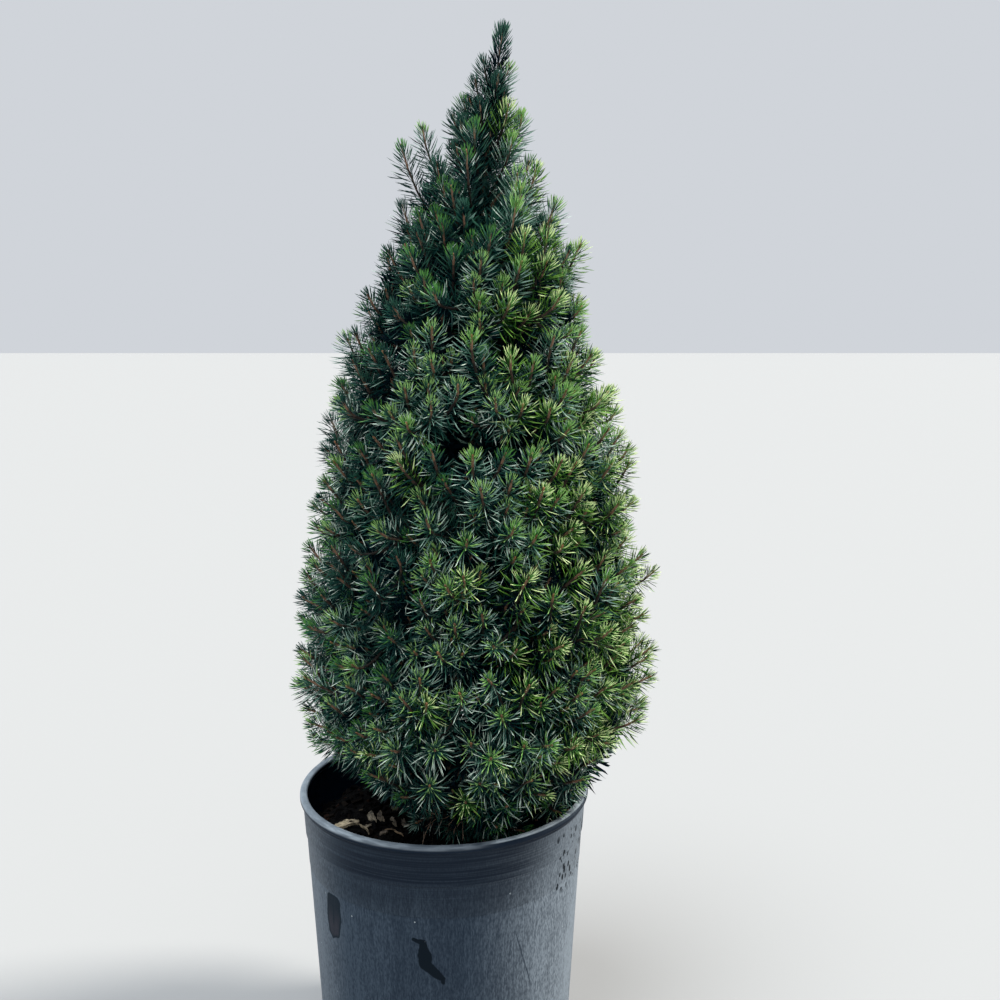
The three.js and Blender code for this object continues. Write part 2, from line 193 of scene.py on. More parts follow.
class Finish:
    """A Principled material whose pattern is read in the piece's own Object coordinates."""

    def __init__(self, name, **constants):
        self.material = bpy.data.materials.new(name)
        self.material.use_nodes = True
        self.tree = self.material.node_tree
        self.shader = self.tree.nodes["Principled BSDF"]
        for socket, value in constants.items():
            self.shader.inputs[socket.replace("_", " ")].default_value = value
        self.place = self.node("TexCoord").outputs["Object"]

    def node(self, kind, inputs=None, **settings):
        """Adds a node; each input is a plain value or the output of another node."""
        made = self.tree.nodes.new("ShaderNode" + kind)
        for setting, value in settings.items():
            setattr(made, setting, value)
        for socket, value in (inputs or {}).items():
            if isinstance(value, bpy.types.NodeSocket):
                self.tree.links.new(value, made.inputs[socket])
            else:
                made.inputs[socket].default_value = value
        return made

    def arith(self, operation, first, second=0.0):
        return self.node("Math", {0: first, 1: second}, operation=operation).outputs[0]

    def times(self, *values):
        product = values[0]
        for value in values[1:]:
            product = self.arith("MULTIPLY", product, value)
        return product

    def stretched(self, scale):
        """The place, drawn out so that a pattern is longer where the scale is small."""
        return self.node("Mapping", {"Vector": self.place, "Scale": scale}).outputs[0]

    def noise(self, scale, detail=2.0, stretch=(1, 1, 1)):
        """Cloudy noise from 0 to 1; scale is the number of clouds in a metre."""
        inputs = {"Vector": self.stretched(stretch), "Scale": scale, "Detail": detail}
        return self.node("TexNoise", inputs).outputs["Fac"]

    def band(self, value, low, high, to_low=0.0, to_high=1.0):
        """Runs smoothly from to_low to to_high while the value runs from low to high."""
        inputs = {"Value": value, 1: low, 2: high, 3: to_low, 4: to_high}
        return self.node("MapRange", inputs, interpolation_type="SMOOTHSTEP").outputs[0]

    def between(self, share, first, second):
        """A number on the way from the first to the second."""
        return self.node("Mix", {0: share, 2: first, 3: second}).outputs[0]

    def mixed(self, share, first, second):
        """A colour on the way from the first to the second."""
        return self.node("Mix", {0: share, 6: first, 7: second}, data_type="RGBA").outputs[2]

    def dress(self, colour=None, roughness=None, height=None, depth=0.0):
        """Links what is given to the shader; the height from 0 to 1 is a relief depth metres deep."""
        if colour is not None:
            self.tree.links.new(colour, self.shader.inputs["Base Color"])
        if roughness is not None:
            self.tree.links.new(roughness, self.shader.inputs["Roughness"])
        if height is not None:
            bump = self.node("Bump", {"Height": height, "Distance": depth})
            self.tree.links.new(bump.outputs[0], self.shader.inputs["Normal"])
        return self.material


BLACK_PLASTIC = (0.003, 0.009, 0.02, 1)
DUST_FILM = (0.042, 0.06, 0.083, 1)
# Pale dust, also painting the sheen and the light on the pot's sides.
PALE_DUST_AND_SHEEN = (0.205, 0.24, 0.275, 1)
# Pale dust on the lip, also the colour of the painted highlight along its top.
LIP_DUST_AND_HIGHLIGHT = (0.3, 0.345, 0.385, 1)
SPECK = (0.3, 0.34, 0.36, 1)
DRIED_MARK = (0.025, 0.027, 0.037, 1)
DAMP_MARK = (0.006, 0.013, 0.021, 1)
WET_MARK = (0.001, 0.005, 0.01, 1)
# Marks on the wall, drawn as strokes: distance along the wall from the front, height, radius. The left
# one is an upright bar, and the front one a bent run of water.
LEFT_STROKES = [
    (-61.8, 122.8, 3.6),
    (-67.2, 122.6, 3.6),
    (-68.4, 112.0, 3.8),
    (-68.2, 104.0, 3.5),
    (-67.6, 100.4, 1.1),
    (-64.0, 105.0, 3.6),
    (-62.4, 113.0, 3.8),
    (-62.0, 122.0, 3.6),
]
SCRATCH_STROKES = [(42.6, 111.5, 0.2), (47.6, 96, 0.3), (52.0, 84, 0.3), (54.3, 77, 0.15)]
FRONT_STROKES = [
    (-12.6, 114.6, 1.0),
    (-7.9, 113.0, 1.9),
    (-7.2, 106, 3.5),
    (-6.8, 100.5, 3.3),
    (-1.4, 95.6, 2.4),
    (2.4, 92.4, 1.4),
    (2.6, 90.0, 0.9),
]


def wall_mark(plastic, spot, strokes, ragged):
    """How far a spot on the wall lies outside the ragged edge of a mark, in metres."""
    nearest = plastic.times(plastic.arith("SUBTRACT", plastic.noise(240, 2), 0.5), ragged * MM)
    edge = None
    for (a0, z0, r0), (a1, z1, r1) in zip(strokes, strokes[1:]):
        start = Vector((a0, z0, 0)) * MM
        way = Vector((a1, z1, 0)) * MM - start
        off = plastic.node("VectorMath", {0: spot, 1: start}, operation="SUBTRACT").outputs[0]
        run = plastic.node(
            "VectorMath", {0: off, 1: way / way.length_squared}, operation="DOT_PRODUCT"
        ).outputs["Value"]
        run = plastic.node("Clamp", {0: run}).outputs[0]
        foot = plastic.node("VectorMath", {0: tuple(way), "Scale": run}, operation="SCALE").outputs[0]
        away = plastic.node("VectorMath", {0: off, 1: foot}, operation="DISTANCE").outputs["Value"]
        width = plastic.between(run, r0 * MM, r1 * MM)
        outer = plastic.arith("SUBTRACT", away, width)
        edge = outer if edge is None else plastic.arith("MINIMUM", edge, outer)
    return plastic.arith("ADD", edge, nearest)


def dust_and_sheen_film(plastic, height, rightward, speckle, streaks):
    """How thick the dust and its painted side sheen lie, 0 to 1, and their colour: streaked down the wall,
    wiped round the band.
    """
    broad_streaks = plastic.noise(110, 2, (1, 1, 0.03))
    clouds = plastic.noise(24, 3)
    wall_dust = plastic.times(
        plastic.band(speckle, 0.36, 0.64, 0.62, 1.3),
        plastic.band(streaks, 0.36, 0.64, 0.74, 1.2),
        plastic.band(broad_streaks, 0.3, 0.7, 0.8, 1.05),
        plastic.band(clouds, 0.3, 0.7, 0.75, 1.0),
    )
    # The pale film is thickest on the right and at the left edge: partly dust, partly painted sheen where
    # the wall turns away, and painted light on the right. Hands rubbed some of the dust off the front.
    right_dust_and_light = plastic.band(rightward, 0.15, 0.95)
    left_dust_and_sheen = plastic.band(rightward, -0.2, -0.95)
    left_edge_dust_and_sheen = plastic.band(rightward, -0.62, -0.97, 0.0, 0.62)
    wiped = plastic.noise(14, 5, (1, 1, 70))
    rubbed = plastic.times(
        plastic.band(wiped, 0.4, 0.68, 0.04, 0.62), plastic.band(clouds, 0.3, 0.7, 0.6, 1.0)
    )
    # The band is paler at both sides: partly dust, partly painted sheen.
    side_dust_and_sheen = plastic.arith(
        "ADD", plastic.band(rightward, 0.45, 0.9, 0.0, 0.75), plastic.band(rightward, -0.5, -0.92, 0.0, 0.7)
    )
    band_dust = plastic.between(side_dust_and_sheen, rubbed, 0.85)
    band_dust = plastic.times(band_dust, plastic.band(speckle, 0.36, 0.64, 0.7, 1.25))
    upper = plastic.band(height, (SECOND_LINE - 2) * MM, (BAND_FOOT - 4) * MM, 0.0, 0.5)
    in_band = plastic.band(height, (BAND_FOOT - 1) * MM, (BAND_FOOT + 1.5) * MM)
    film = plastic.between(in_band, plastic.between(upper, wall_dust, band_dust), band_dust)
    # Painted light on the right and painted sheen at the left thicken the pale film.
    sides = plastic.arith("ADD", plastic.times(right_dust_and_light, 0.45), plastic.times(left_dust_and_sheen, 0.55))
    film = plastic.times(film, plastic.arith("ADD", sides, 0.75))
    film = plastic.node("Clamp", {0: film}).outputs[0]
    return film, plastic.mixed(plastic.arith("MAXIMUM", right_dust_and_light, left_edge_dust_and_sheen), DUST_FILM, PALE_DUST_AND_SHEEN)


def with_marks(plastic, shade, height, turn, outside):
    """Adds the dried marks, the scratch, the drops and the specks; also returns the wet mark's share."""
    along = plastic.arith("MULTIPLY", turn, wall_radius(115) * MM)
    spot = plastic.node("CombineXYZ", {0: along, 1: height}).outputs[0]
    left_edge_away = wall_mark(plastic, spot, LEFT_STROKES, 1.6)
    left_mark = plastic.times(outside, plastic.band(left_edge_away, 0.3 * MM, -0.3 * MM))
    left_dried = plastic.times(
        plastic.band(left_edge_away, -0.3 * MM, -2.4 * MM),
        plastic.band(height, 121 * MM, 106 * MM, 0.1, 1.0),
        outside,
    )
    front_mark = wall_mark(plastic, spot, FRONT_STROKES, 2.0)
    front_mark = plastic.times(outside, plastic.band(front_mark, 0.4 * MM, -0.25 * MM))
    scratch = wall_mark(plastic, spot, SCRATCH_STROKES, 0.4)
    scratch = plastic.times(outside, plastic.band(scratch, 0.4 * MM, -0.25 * MM), 0.7)
    shade = plastic.mixed(left_mark, shade, DAMP_MARK)
    shade = plastic.mixed(left_dried, shade, DRIED_MARK)
    shade = plastic.mixed(front_mark, shade, WET_MARK)
    shade = plastic.mixed(scratch, shade, BLACK_PLASTIC)

    # Dark drops dried on the right of the band, and a few pale specks all round.
    drops = plastic.node("TexVoronoi", {"Vector": plastic.stretched((1, 1, 0.55)), "Scale": 330.0})
    drop_size = plastic.band(plastic.noise(90, 1), 0.36, 0.56, 0.1, 0.4)
    is_drop = plastic.times(
        plastic.arith("LESS_THAN", drops.outputs["Distance"], drop_size),
        plastic.band(turn, 0.82, 0.92),
        plastic.band(turn, 1.75, 1.35),
        plastic.band(height, 120 * MM, 126 * MM),
        plastic.band(height, 160 * MM, 155 * MM),
    )
    shade = plastic.mixed(is_drop, shade, WET_MARK)
    specks = plastic.node("TexVoronoi", {"Vector": plastic.place, "Scale": 85.0})
    is_speck = plastic.times(
        plastic.arith("LESS_THAN", specks.outputs["Distance"], 0.04),
        plastic.band(plastic.noise(31, 1), 0.52, 0.6),
    )
    return plastic.mixed(plastic.times(is_speck, 0.8), shade, SPECK), front_mark


def with_lip(plastic, shade, height, rightward, out):
    """A painted shadow keeps the plastic under the lip dark. Pale dust lies on top of the lip, thick at the
    left. At the right the lip is rubbed to bare black, with a thin painted highlight along its top."""
    # Painted shadow: the plastic under the lip's overhang is darkened to black.
    painted_shadow_under_lip = plastic.times(
        plastic.band(height, (LIP_FOOT - 2.4) * MM, (LIP_FOOT - 0.8) * MM, 0.0, 0.8),
        plastic.band(height, (POT_HEIGHT - 1.7) * MM, (POT_HEIGHT - 2.4) * MM),
        plastic.band(plastic.noise(60, 3, (1, 1, 4)), 0.3, 0.6, 0.7, 1.0),
    )
    shade = plastic.mixed(painted_shadow_under_lip, shade, BLACK_PLASTIC)
    bare_lip = plastic.times(
        plastic.band(rightward, 0.3, 0.52, 0.0, 0.85),
        plastic.band(height, (POT_HEIGHT - 6.5) * MM, (POT_HEIGHT - 5.2) * MM),
    )
    shade = plastic.mixed(bare_lip, shade, BLACK_PLASTIC)
    # A painted highlight: a thin pale line along the top of the bare lip at the right.
    painted_lip_highlight = plastic.times(
        plastic.band(rightward, 0.25, 0.42),
        plastic.band(plastic.noise(60, 3), 0.36, 0.5, 0.35, 0.9),
        plastic.band(height, (POT_HEIGHT - 0.9) * MM, (POT_HEIGHT - 0.35) * MM),
    )
    shade = plastic.mixed(painted_lip_highlight, shade, LIP_DUST_AND_HIGHLIGHT)
    lip_dust = plastic.times(
        plastic.band(plastic.noise(90, 4, (1, 1, 8)), 0.35, 0.7, 0.45, 1.0),
        plastic.band(rightward, 0.42, 0.1),
        plastic.band(rightward, 0.05, -0.85, 0.42, 0.9),
        plastic.band(height, (POT_HEIGHT - 2.6) * MM, (POT_HEIGHT - 1.2) * MM),
        plastic.band(out, (LIP_INNER - 0.2) * MM, (LIP_INNER + 1.2) * MM),
    )
    return plastic.mixed(lip_dust, shade, LIP_DUST_AND_HIGHLIGHT)


def pot_finish():
    """Black plastic under a dry blue-grey film of dust. The inner wall is clean, black and glossy."""
    plastic = Finish("dusty black plastic", Specular_IOR_Level=0.08, IOR=1.5)
    axes = plastic.node("SeparateXYZ", {0: plastic.place}).outputs
    height = axes[2]
    turn = plastic.arith("ARCTAN2", axes[0], plastic.arith("MULTIPLY", axes[1], -1))
    flat = plastic.stretched((1, 1, 0))
    out = plastic.node("VectorMath", {0: flat}, operation="LENGTH").outputs["Value"]
    rightward = plastic.arith("DIVIDE", axes[0], out)
    speckle = plastic.noise(1500, 2, (1, 1, 0.3))
    streaks = plastic.noise(1100, 3, (1, 1, 0.09))
    film, dust = dust_and_sheen_film(plastic, height, rightward, speckle, streaks)
    shade = plastic.mixed(film, BLACK_PLASTIC, dust)
    outside = plastic.band(out, 72 * MM, 74 * MM)
    shade, front_mark = with_marks(plastic, shade, height, turn, outside)
    shade = with_lip(plastic, shade, height, rightward, out)
    upright_out = plastic.arith("SUBTRACT", out, plastic.times(height, WALL_SLOPE))
    clean = plastic.times(
        plastic.arith("LESS_THAN", upright_out, (FOOT_RADIUS - 0.4) * MM),
        plastic.band(height, (POT_HEIGHT - 0.6) * MM, (POT_HEIGHT - 1.8) * MM),
    )
    shade = plastic.mixed(clean, shade, BLACK_PLASTIC)
    dull = plastic.between(front_mark, plastic.band(film, 0.0, 0.7, 0.38, 0.6), 0.3)
    dull = plastic.between(clean, dull, 0.24)
    scuffs = plastic.arith("ADD", plastic.times(streaks, 0.4), speckle)
    return plastic.dress(shade, dull, scuffs, 0.00006)


pot.data.materials.clear()
pot.data.materials.append(pot_finish())
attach(pot, "root")
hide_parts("pot")

# The potting mix: composted bark that fills the pot, sunk a little where it meets the wall. Its top is
# drawn in from the wall in narrow rings and then heaved up and down.
mix_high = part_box("potting_mix")[1]
MIX_TOP = mix_high.z / MM
MIX_SIDES = 120
MIX_RINGS = 46
MIX_HEAVE = 1.6
# The fines are damp and dark, and are darkened further as painted shade inside the pot.
WET_FINES_IN_PAINTED_SHADE = (0.0006, 0.0007, 0.0013, 1)
BROWN_FINES_IN_PAINTED_SHADE = (0.004, 0.0035, 0.003, 1)


def mix_radius(height):
    return wall_radius(height) - WALL - 0.3


def mix_top(x, y):
    """The height of the mix's lumpy top at a place, in millimetres."""
    edge = mix_radius(MIX_TOP) - math.hypot(x, y)
    sunk = 7 * max(0.0, 1 - edge / 13) ** 1.6
    lumps = noise.fractal(Vector((x, y, 0)) / 9, 0.9, 2.1, 4)
    return MIX_TOP - 0.6 - sunk + MIX_HEAVE * lumps


mix_outline = [
    (20, 2.6),
    (mix_radius(6) - 4, 2.6),
    (mix_radius(6), 7),
    (mix_radius(MIX_TOP - 8), MIX_TOP - 8),
]
mix_rim = mix_radius(MIX_TOP - 8)
mix_outline += [(mix_rim * (1 - ring / MIX_RINGS), MIX_TOP) for ring in range(MIX_RINGS)]
mix = turned_body("potting_mix_filling", mix_outline, MIX_SIDES)
for corner in mix.data.vertices:
    if corner.co.z > (MIX_TOP - 1) * MM:
        corner.co.z = mix_top(corner.co.x / MM, corner.co.y / MM) * MM


def mix_finish():
    """Damp fines with brown bark in them, darkened to nearly black as painted shade inside the pot."""
    fines = Finish("damp potting mix", Roughness=0.85, Specular_IOR_Level=0.08)
    grains = fines.noise(420, 4)
    shade = fines.mixed(fines.band(grains, 0.35, 0.7), WET_FINES_IN_PAINTED_SHADE, BROWN_FINES_IN_PAINTED_SHADE)
    return fines.dress(shade, None, grains, 0.0015)


mix.data.materials.append(mix_finish())
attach(mix, "root")
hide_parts("potting_mix")

# Bark crumbs: the coarse pieces of the mix that lie loose on its top. Each is a rough block with its
# own corners, half sunk in the fines, in one of a few plain browns, all darkened as painted shade inside
# the pot.
CRUMBS = 1900
# Painted shade: the crumbs' browns are darkened as in the shade inside the pot.
CRUMB_TONES_IN_PAINTED_SHADE = [
    ("black bark crumb", (0.001, 0.001, 0.0015, 1)),
    ("dark bark crumb", (0.0025, 0.002, 0.002, 1)),
    ("brown bark crumb", (0.007, 0.005, 0.004, 1)),
    ("red-brown bark crumb", (0.018, 0.009, 0.006, 1)),
    ("weathered wood crumb", (0.12, 0.095, 0.07, 1)),
]
CRUMB_SHARES = [0.45, 0.35, 0.14, 0.04, 0.02]
BLOCK_CORNERS = np.array([(x, y, z) for z in (-1, 1) for y in (-1, 1) for x in (-1, 1)], float)
BLOCK_TRIANGLES = np.array([
    (0, 2, 3), (0, 3, 1), (4, 5, 7), (4, 7, 6), (0, 1, 5), (0, 5, 4),
    (1, 3, 7), (1, 7, 5), (3, 2, 6), (3, 6, 7), (2, 0, 4), (2, 4, 6),
])


def plain_finish(name, colour, roughness, specular=0.5):
    """One plain base colour, for small pieces whose colours are dealt out piece by piece."""
    return Finish(name, Base_Color=colour, Roughness=roughness, Specular_IOR_Level=specular).material


def joined_piece(name, corners, triangles, finishes, kinds, smooth=False):
    """Many small shapes as one mesh, from corners in millimetres and each triangle's finish by number."""
    corners = np.reshape(corners, (-1, 3)) * MM
    triangles = np.reshape(triangles, (-1, 3))
    mesh = bpy.data.meshes.new(name)
    mesh.vertices.add(len(corners))
    mesh.vertices.foreach_set("co", corners.astype(np.float32).ravel())
    mesh.loops.add(3 * len(triangles))
    mesh.loops.foreach_set("vertex_index", triangles.astype(np.int32).ravel())
    mesh.polygons.add(len(triangles))
    mesh.polygons.foreach_set("loop_start", np.arange(0, 3 * len(triangles), 3, dtype=np.int32))
    mesh.polygons.foreach_set("material_index", np.ravel(kinds).astype(np.int32))
    mesh.polygons.foreach_set("use_smooth", np.full(len(triangles), smooth))
    mesh.update(calc_edges=True)
    mesh.validate()
    for finish in finishes:
        mesh.materials.append(finish)
    piece = bpy.data.objects.new(name, mesh)
    bpy.context.scene.collection.objects.link(piece)
    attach(piece, "root")
    return piece


def turns(rng, count):
    """Random turns to any side, as one 3 by 3 matrix each."""
    q = rng.normal(size=(count, 4))
    w, x, y, z = (q / np.linalg.norm(q, axis=1, keepdims=True)).T
    return np.stack([
        np.stack([1 - 2 * (y * y + z * z), 2 * (x * y - z * w), 2 * (x * z + y * w)], -1),
        np.stack([2 * (x * y + z * w), 1 - 2 * (x * x + z * z), 2 * (y * z - x * w)], -1),
        np.stack([2 * (x * z - y * w), 2 * (y * z + x * w), 1 - 2 * (x * x + y * y)], -1),
    ], 1)


rng = np.random.default_rng(11)
crumb_spread = np.sqrt(rng.uniform(0.0, 1.0, CRUMBS)) * (mix_radius(MIX_TOP) - 2.5)
crumb_azimuth = rng.uniform(0, 2 * math.pi, CRUMBS)
crumb_x = crumb_spread * np.cos(crumb_azimuth)
crumb_y = crumb_spread * np.sin(crumb_azimuth)
crumb_z = np.array([mix_top(x, y) for x, y in zip(crumb_x, crumb_y)])
crumb_size = rng.gamma(4.0, 0.3, CRUMBS).clip(0.5, 3.2)
crumb_shape = np.stack([
    crumb_size * rng.uniform(0.9, 1.9, CRUMBS),
    crumb_size * rng.uniform(0.5, 0.95, CRUMBS),
    crumb_size * rng.uniform(0.3, 0.6, CRUMBS),
], -1)
blocks = BLOCK_CORNERS[None] * rng.uniform(0.62, 1.0, (CRUMBS, 8, 3)) * crumb_shape[:, None]
blocks = np.einsum("nij,nkj->nki", turns(rng, CRUMBS), blocks)
blocks[:, :, 2] *= 0.75
blocks += np.stack([crumb_x, crumb_y, crumb_z + 0.25 * crumb_size], -1)[:, None]
crumb_triangles = BLOCK_TRIANGLES[None] + 8 * np.arange(CRUMBS)[:, None, None]
crumb_kinds = rng.choice(len(CRUMB_TONES_IN_PAINTED_SHADE), CRUMBS, p=CRUMB_SHARES)
crumb_kinds = np.repeat(crumb_kinds, len(BLOCK_TRIANGLES))
crumb_finishes = [plain_finish(name, colour, 0.85, 0.08) for name, colour in CRUMB_TONES_IN_PAINTED_SHADE]
crumbs = joined_piece("bark_crumbs", blocks, crumb_triangles, crumb_finishes, crumb_kinds)
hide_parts("potting_mix")

# Litter on the mix at the left front: one tan chip of wood, curls of pale bark and bits of straw. Each
# is a flat strip, drawn along its own short line, bent and pinched, and laid on the crumbs.
Strip = namedtuple("Strip", "name start end width thickness rise curl colour")
STRIPS = [
    Strip("wood_chip", (-61.5, -20.5), (-48.5, -13.0), 6.6, 1.6, 3.0, 0.5, (0.66, 0.54, 0.36, 1)),
    Strip("bark_curl_1", (-38.6, -13.5), (-43.2, 1.0), 3.8, 0.9, 3.4, 3.2, (0.42, 0.36, 0.26, 1)),
    Strip("bark_curl_2", (-34.2, -13.0), (-37.8, 0.5), 3.2, 0.9, 3.0, 2.6, (0.27, 0.22, 0.155, 1)),
    Strip("bark_curl_3", (-26.6, -17.5), (-30.2, -6.0), 2.6, 0.8, 2.8, 1.6, (0.3, 0.25, 0.18, 1)),
    Strip("bark_curl_4", (-19.6, -19.5), (-23.6, -8.5), 3.0, 0.8, 2.6, 1.8, (0.25, 0.21, 0.155, 1)),
    Strip("straw_1", (-32.4, -24.0), (-21.6, -30.0), 1.3, 0.5, 2.4, 3.2, (0.4, 0.28, 0.17, 1)),
    Strip("straw_2", (-48.4, -15.5), (-41.0, -26.8), 1.6, 0.6, 1.6, 1.4, (0.42, 0.34, 0.22, 1)),
    Strip("bark_bit_1", (-44.5, -20.8), (-40.6, -17.4), 2.8, 0.8, 2.0, 0.4, (0.3, 0.25, 0.18, 1)),
    Strip("bark_bit_2", (-34.8, -28.8), (-30.6, -26.0), 2.6, 0.9, 2.0, 0.3, (0.2, 0.16, 0.12, 1)),
    Strip("straw_3", (30.5, -44.5), (41.0, -37.5), 1.2, 0.5, 1.8, 1.2, (0.26, 0.18, 0.1, 1)),
    Strip("bark_bit_3", (-8.0, 55.0), (3.5, 50.5), 4.0, 1.1, 2.4, 1.0, (0.2, 0.14, 0.09, 1)),
    Strip("straw_4", (47.0, 31.0), (52.0, 20.0), 1.4, 0.5, 1.8, 1.6, (0.3, 0.21, 0.12, 1)),
]
STRIP_STEPS = 9


def wood_finish(strip):
    """Weathered wood with grain along the strip and dirt in its hollows."""
    wood = Finish("weathered " + strip.name.replace("_", " "), Roughness=0.8)
    way = (Vector(strip.end) - Vector(strip.start)).normalized()
    turned = wood.node(
        "Mapping", {"Vector": wood.place, "Rotation": (0, 0, -math.atan2(way.y, way.x))}
    ).outputs[0]
    drawn = wood.node("Mapping", {"Vector": turned, "Scale": (0.12, 1, 1)}).outputs[0]
    grain = wood.node("TexNoise", {"Vector": drawn, "Scale": 1500.0, "Detail": 3.0}).outputs["Fac"]
    dirt = wood.band(wood.noise(260, 3), 0.45, 0.68, 0.0, 0.8)
    dark = tuple(0.45 * value for value in strip.colour[:3]) + (1,)
    shade = wood.mixed(wood.band(grain, 0.35, 0.65), dark, strip.colour)
    shade = wood.mixed(dirt, shade, (0.02, 0.014, 0.01, 1))
    return wood.dress(shade, None, grain, 0.0004)


for number, strip in enumerate(STRIPS):
    start, end = Vector(strip.start), Vector(strip.end)
    way = (end - start).normalized()
    length = (end - start).length
    middle = (start + end) / 2 * MM
    bpy.ops.object.select_all(action="DESELECT")
    bpy.ops.mesh.primitive_cube_add(size=MM, location=(0, 0, 0))
    piece = bpy.context.object
    piece.name = strip.name
    bpy.ops.object.mode_set(mode="EDIT")
    bpy.ops.transform.resize(value=(length, strip.width, strip.thickness), center_override=(0, 0, 0))
    bpy.ops.mesh.subdivide(number_cuts=STRIP_STEPS)
    bpy.ops.object.mode_set(mode="OBJECT")
    for corner in piece.data.vertices:
        run = corner.co.x / (length * MM)
        pinch = 1 - 0.75 * abs(2 * run) ** 3
        wave = noise.noise(Vector((run * 5, number * 7.3, corner.co.y / MM)))
        ragged = 1 + 0.5 * noise.noise(Vector((run * 9, number * 3.1, 0)))
        side = corner.co.y * pinch * ragged + strip.curl * (0.25 - run * run) * 2 * MM
        lift = corner.co.z + (0.4 * wave + strip.rise * (0.25 - run * run)) * MM
        x, y = middle + corner.co.x * way + side * Vector((-way.y, way.x))
        ground = mix_top(x / MM, y / MM) + 1.5
        corner.co = (x, y, ground * MM + lift)
    piece.data.materials.append(wood_finish(strip))
    select_only(piece)
    bpy.ops.object.shade_smooth_by_angle(angle=math.radians(40))
    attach(piece, "root")
    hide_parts("potting_mix")

# The trunk: one tapering stem with a low root flare, leaning right near the top. Its bark is thin and
# scaly, grey-brown over redder cracks. It is drawn up in rings, and its corners are pushed in and out.
trunk_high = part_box("trunk")[1]
PLANT_TOP = cad_high.z / MM
TRUNK_TOP = trunk_high.z / MM
TRUNK_SUNK = 3
TRUNK_FOOT_RADIUS = 6.2
TRUNK_TIP_RADIUS = 1.1
ROOT_FLARE = 3.2
FLARE_HEIGHT = 9
FOOT_OFFSET = 18
LEAN = 16
LEAN_START = 430
TRUNK_SIDES = 22
TRUNK_STEPS = 110


def lerp(first, second, share):
    return first + (second - first) * share


def clamp(value):
    return min(1.0, max(0.0, value))


def trunk_line(height):
    """The middle of the trunk at a height."""
    bend = clamp((height - LEAN_START) / (PLANT_TOP - LEAN_START))
    return np.array([FOOT_OFFSET + LEAN * bend ** 1.5, 0.0, height])


def off_trunk(place):
    return place - trunk_line(place[2])


def trunk_radius(height):
    rise = clamp((height - MIX_TOP) / (TRUNK_TOP - MIX_TOP))
    flare = ROOT_FLARE * math.exp(-max(0.0, height - MIX_TOP) / FLARE_HEIGHT)
    return lerp(TRUNK_FOOT_RADIUS, TRUNK_TIP_RADIUS, rise ** 0.85) + flare


foot = MIX_TOP - TRUNK_SUNK
heights = [lerp(foot, TRUNK_TOP, (step / TRUNK_STEPS) ** 1.15) for step in range(TRUNK_STEPS + 1)]
rings = [(trunk_line(height), trunk_radius(height)) for height in heights]
trunk = drawn_body("trunk_bark", rings, TRUNK_SIDES)
for corner in trunk.data.vertices:
    place = np.array(corner.co) / MM
    out = off_trunk(place)
    scales = noise.fractal(Vector((place[0], place[1], place[2] * 0.45)) / 2.4, 0.8, 2.2, 3)
    lobes = math.cos(3 * math.atan2(out[1], out[0]) + 0.8)
    flare = math.exp(-max(0.0, place[2] - MIX_TOP) / FLARE_HEIGHT)
    grown = 1 + 0.07 * scales + 0.16 * lobes * flare
    corner.co = (trunk_line(place[2]) + out * grown) * MM


def bark_finish(name, hollow, ridge, grain_scale):
    """Thin bark: grey-brown flakes over darker, redder cracks."""
    bark = Finish(name, Roughness=0.82, Specular_IOR_Level=0.3)
    flakes = bark.noise(grain_scale, 4, (1, 1, 0.35))
    patches = bark.noise(grain_scale / 5, 2)
    shade = bark.mixed(bark.band(flakes, 0.36, 0.64), hollow, ridge)
    shade = bark.mixed(bark.band(patches, 0.4, 0.7, 0.0, 0.5), shade, (0.12, 0.105, 0.08, 1))
    return bark.dress(shade, None, flakes, 0.0006)


old_bark = bark_finish("old trunk bark", (0.035, 0.02, 0.012, 1), (0.16, 0.105, 0.068, 1), 620)
trunk.data.materials.append(old_bark)
select_only(trunk)
bpy.ops.object.shade_smooth_by_angle(angle=math.radians(50))
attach(trunk, "root")
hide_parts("trunk")

# The boughs: whorls of limbs that climb the trunk, each one tapering stick that runs out and up along
# the middle of its own share of the crown. The crown is shared out in tiers, and each tier in equal
# slices, so that every bough feeds one mass of needles.
Tier = namedtuple("Tier", "name boughs turn root edge across up core")
TIERS = [
    Tier("skirt", 5, -90, 152, 154, 4, 2, 0.86),
    Tier("low", 5, -54, 170, 208, 4, 2, 0.86),
    Tier("waist", 5, -72, 205, 264, 4, 2, 0.86),
    Tier("middle", 4, -90, 252, 322, 4, 2, 0.84),
    Tier("shoulder", 4, -45, 304, 380, 4, 2, 0.83),
    Tier("high", 3, -90, 358, 432, 4, 2, 0.8),
    Tier("spire", 3, -60, 415, 480, 3, 3, 0.62),
]
SPIRE_END = Tier("top", 0, 0, 528, 552, 0, 0, 0)
CROWN_HEIGHTS = [150, 170, 187, 202, 228, 262, 316, 366, 420, 470, 505, 545, 572, 584]
CROWN_RADII = [48, 68, 81, 94, 102, 100, 93, 86, 69, 52, 37, 15, 8, 3]
BOUGH_END = 0.4
BOUGH_FOOT_RADIUS = 2.6
BOUGH_TIP_RADIUS = 1.7
STEM_TIP_RADIUS = 0.9
BOUGH_STEPS = 30
BOUGH_SIDES = 9


def crown_radius(height):
    return np.interp(height, CROWN_HEIGHTS, CROWN_RADII)


def shoot_scale(height):
    """Limbs and shoots are small in the spire and full size lower down."""
    return lerp(1, 0.62, clamp((height - 400) / 130))


def outward(azimuth, radius):
    """A level step from the trunk; the azimuth in radians turns from the right towards the back."""
    return radius * np.array([math.cos(azimuth), math.sin(azimuth), 0])


def azimuth_of(place):
    off = off_trunk(place)
    return math.atan2(off[1], off[0])


def out_from_trunk(place):
    return math.hypot(*off_trunk(place)[:2])


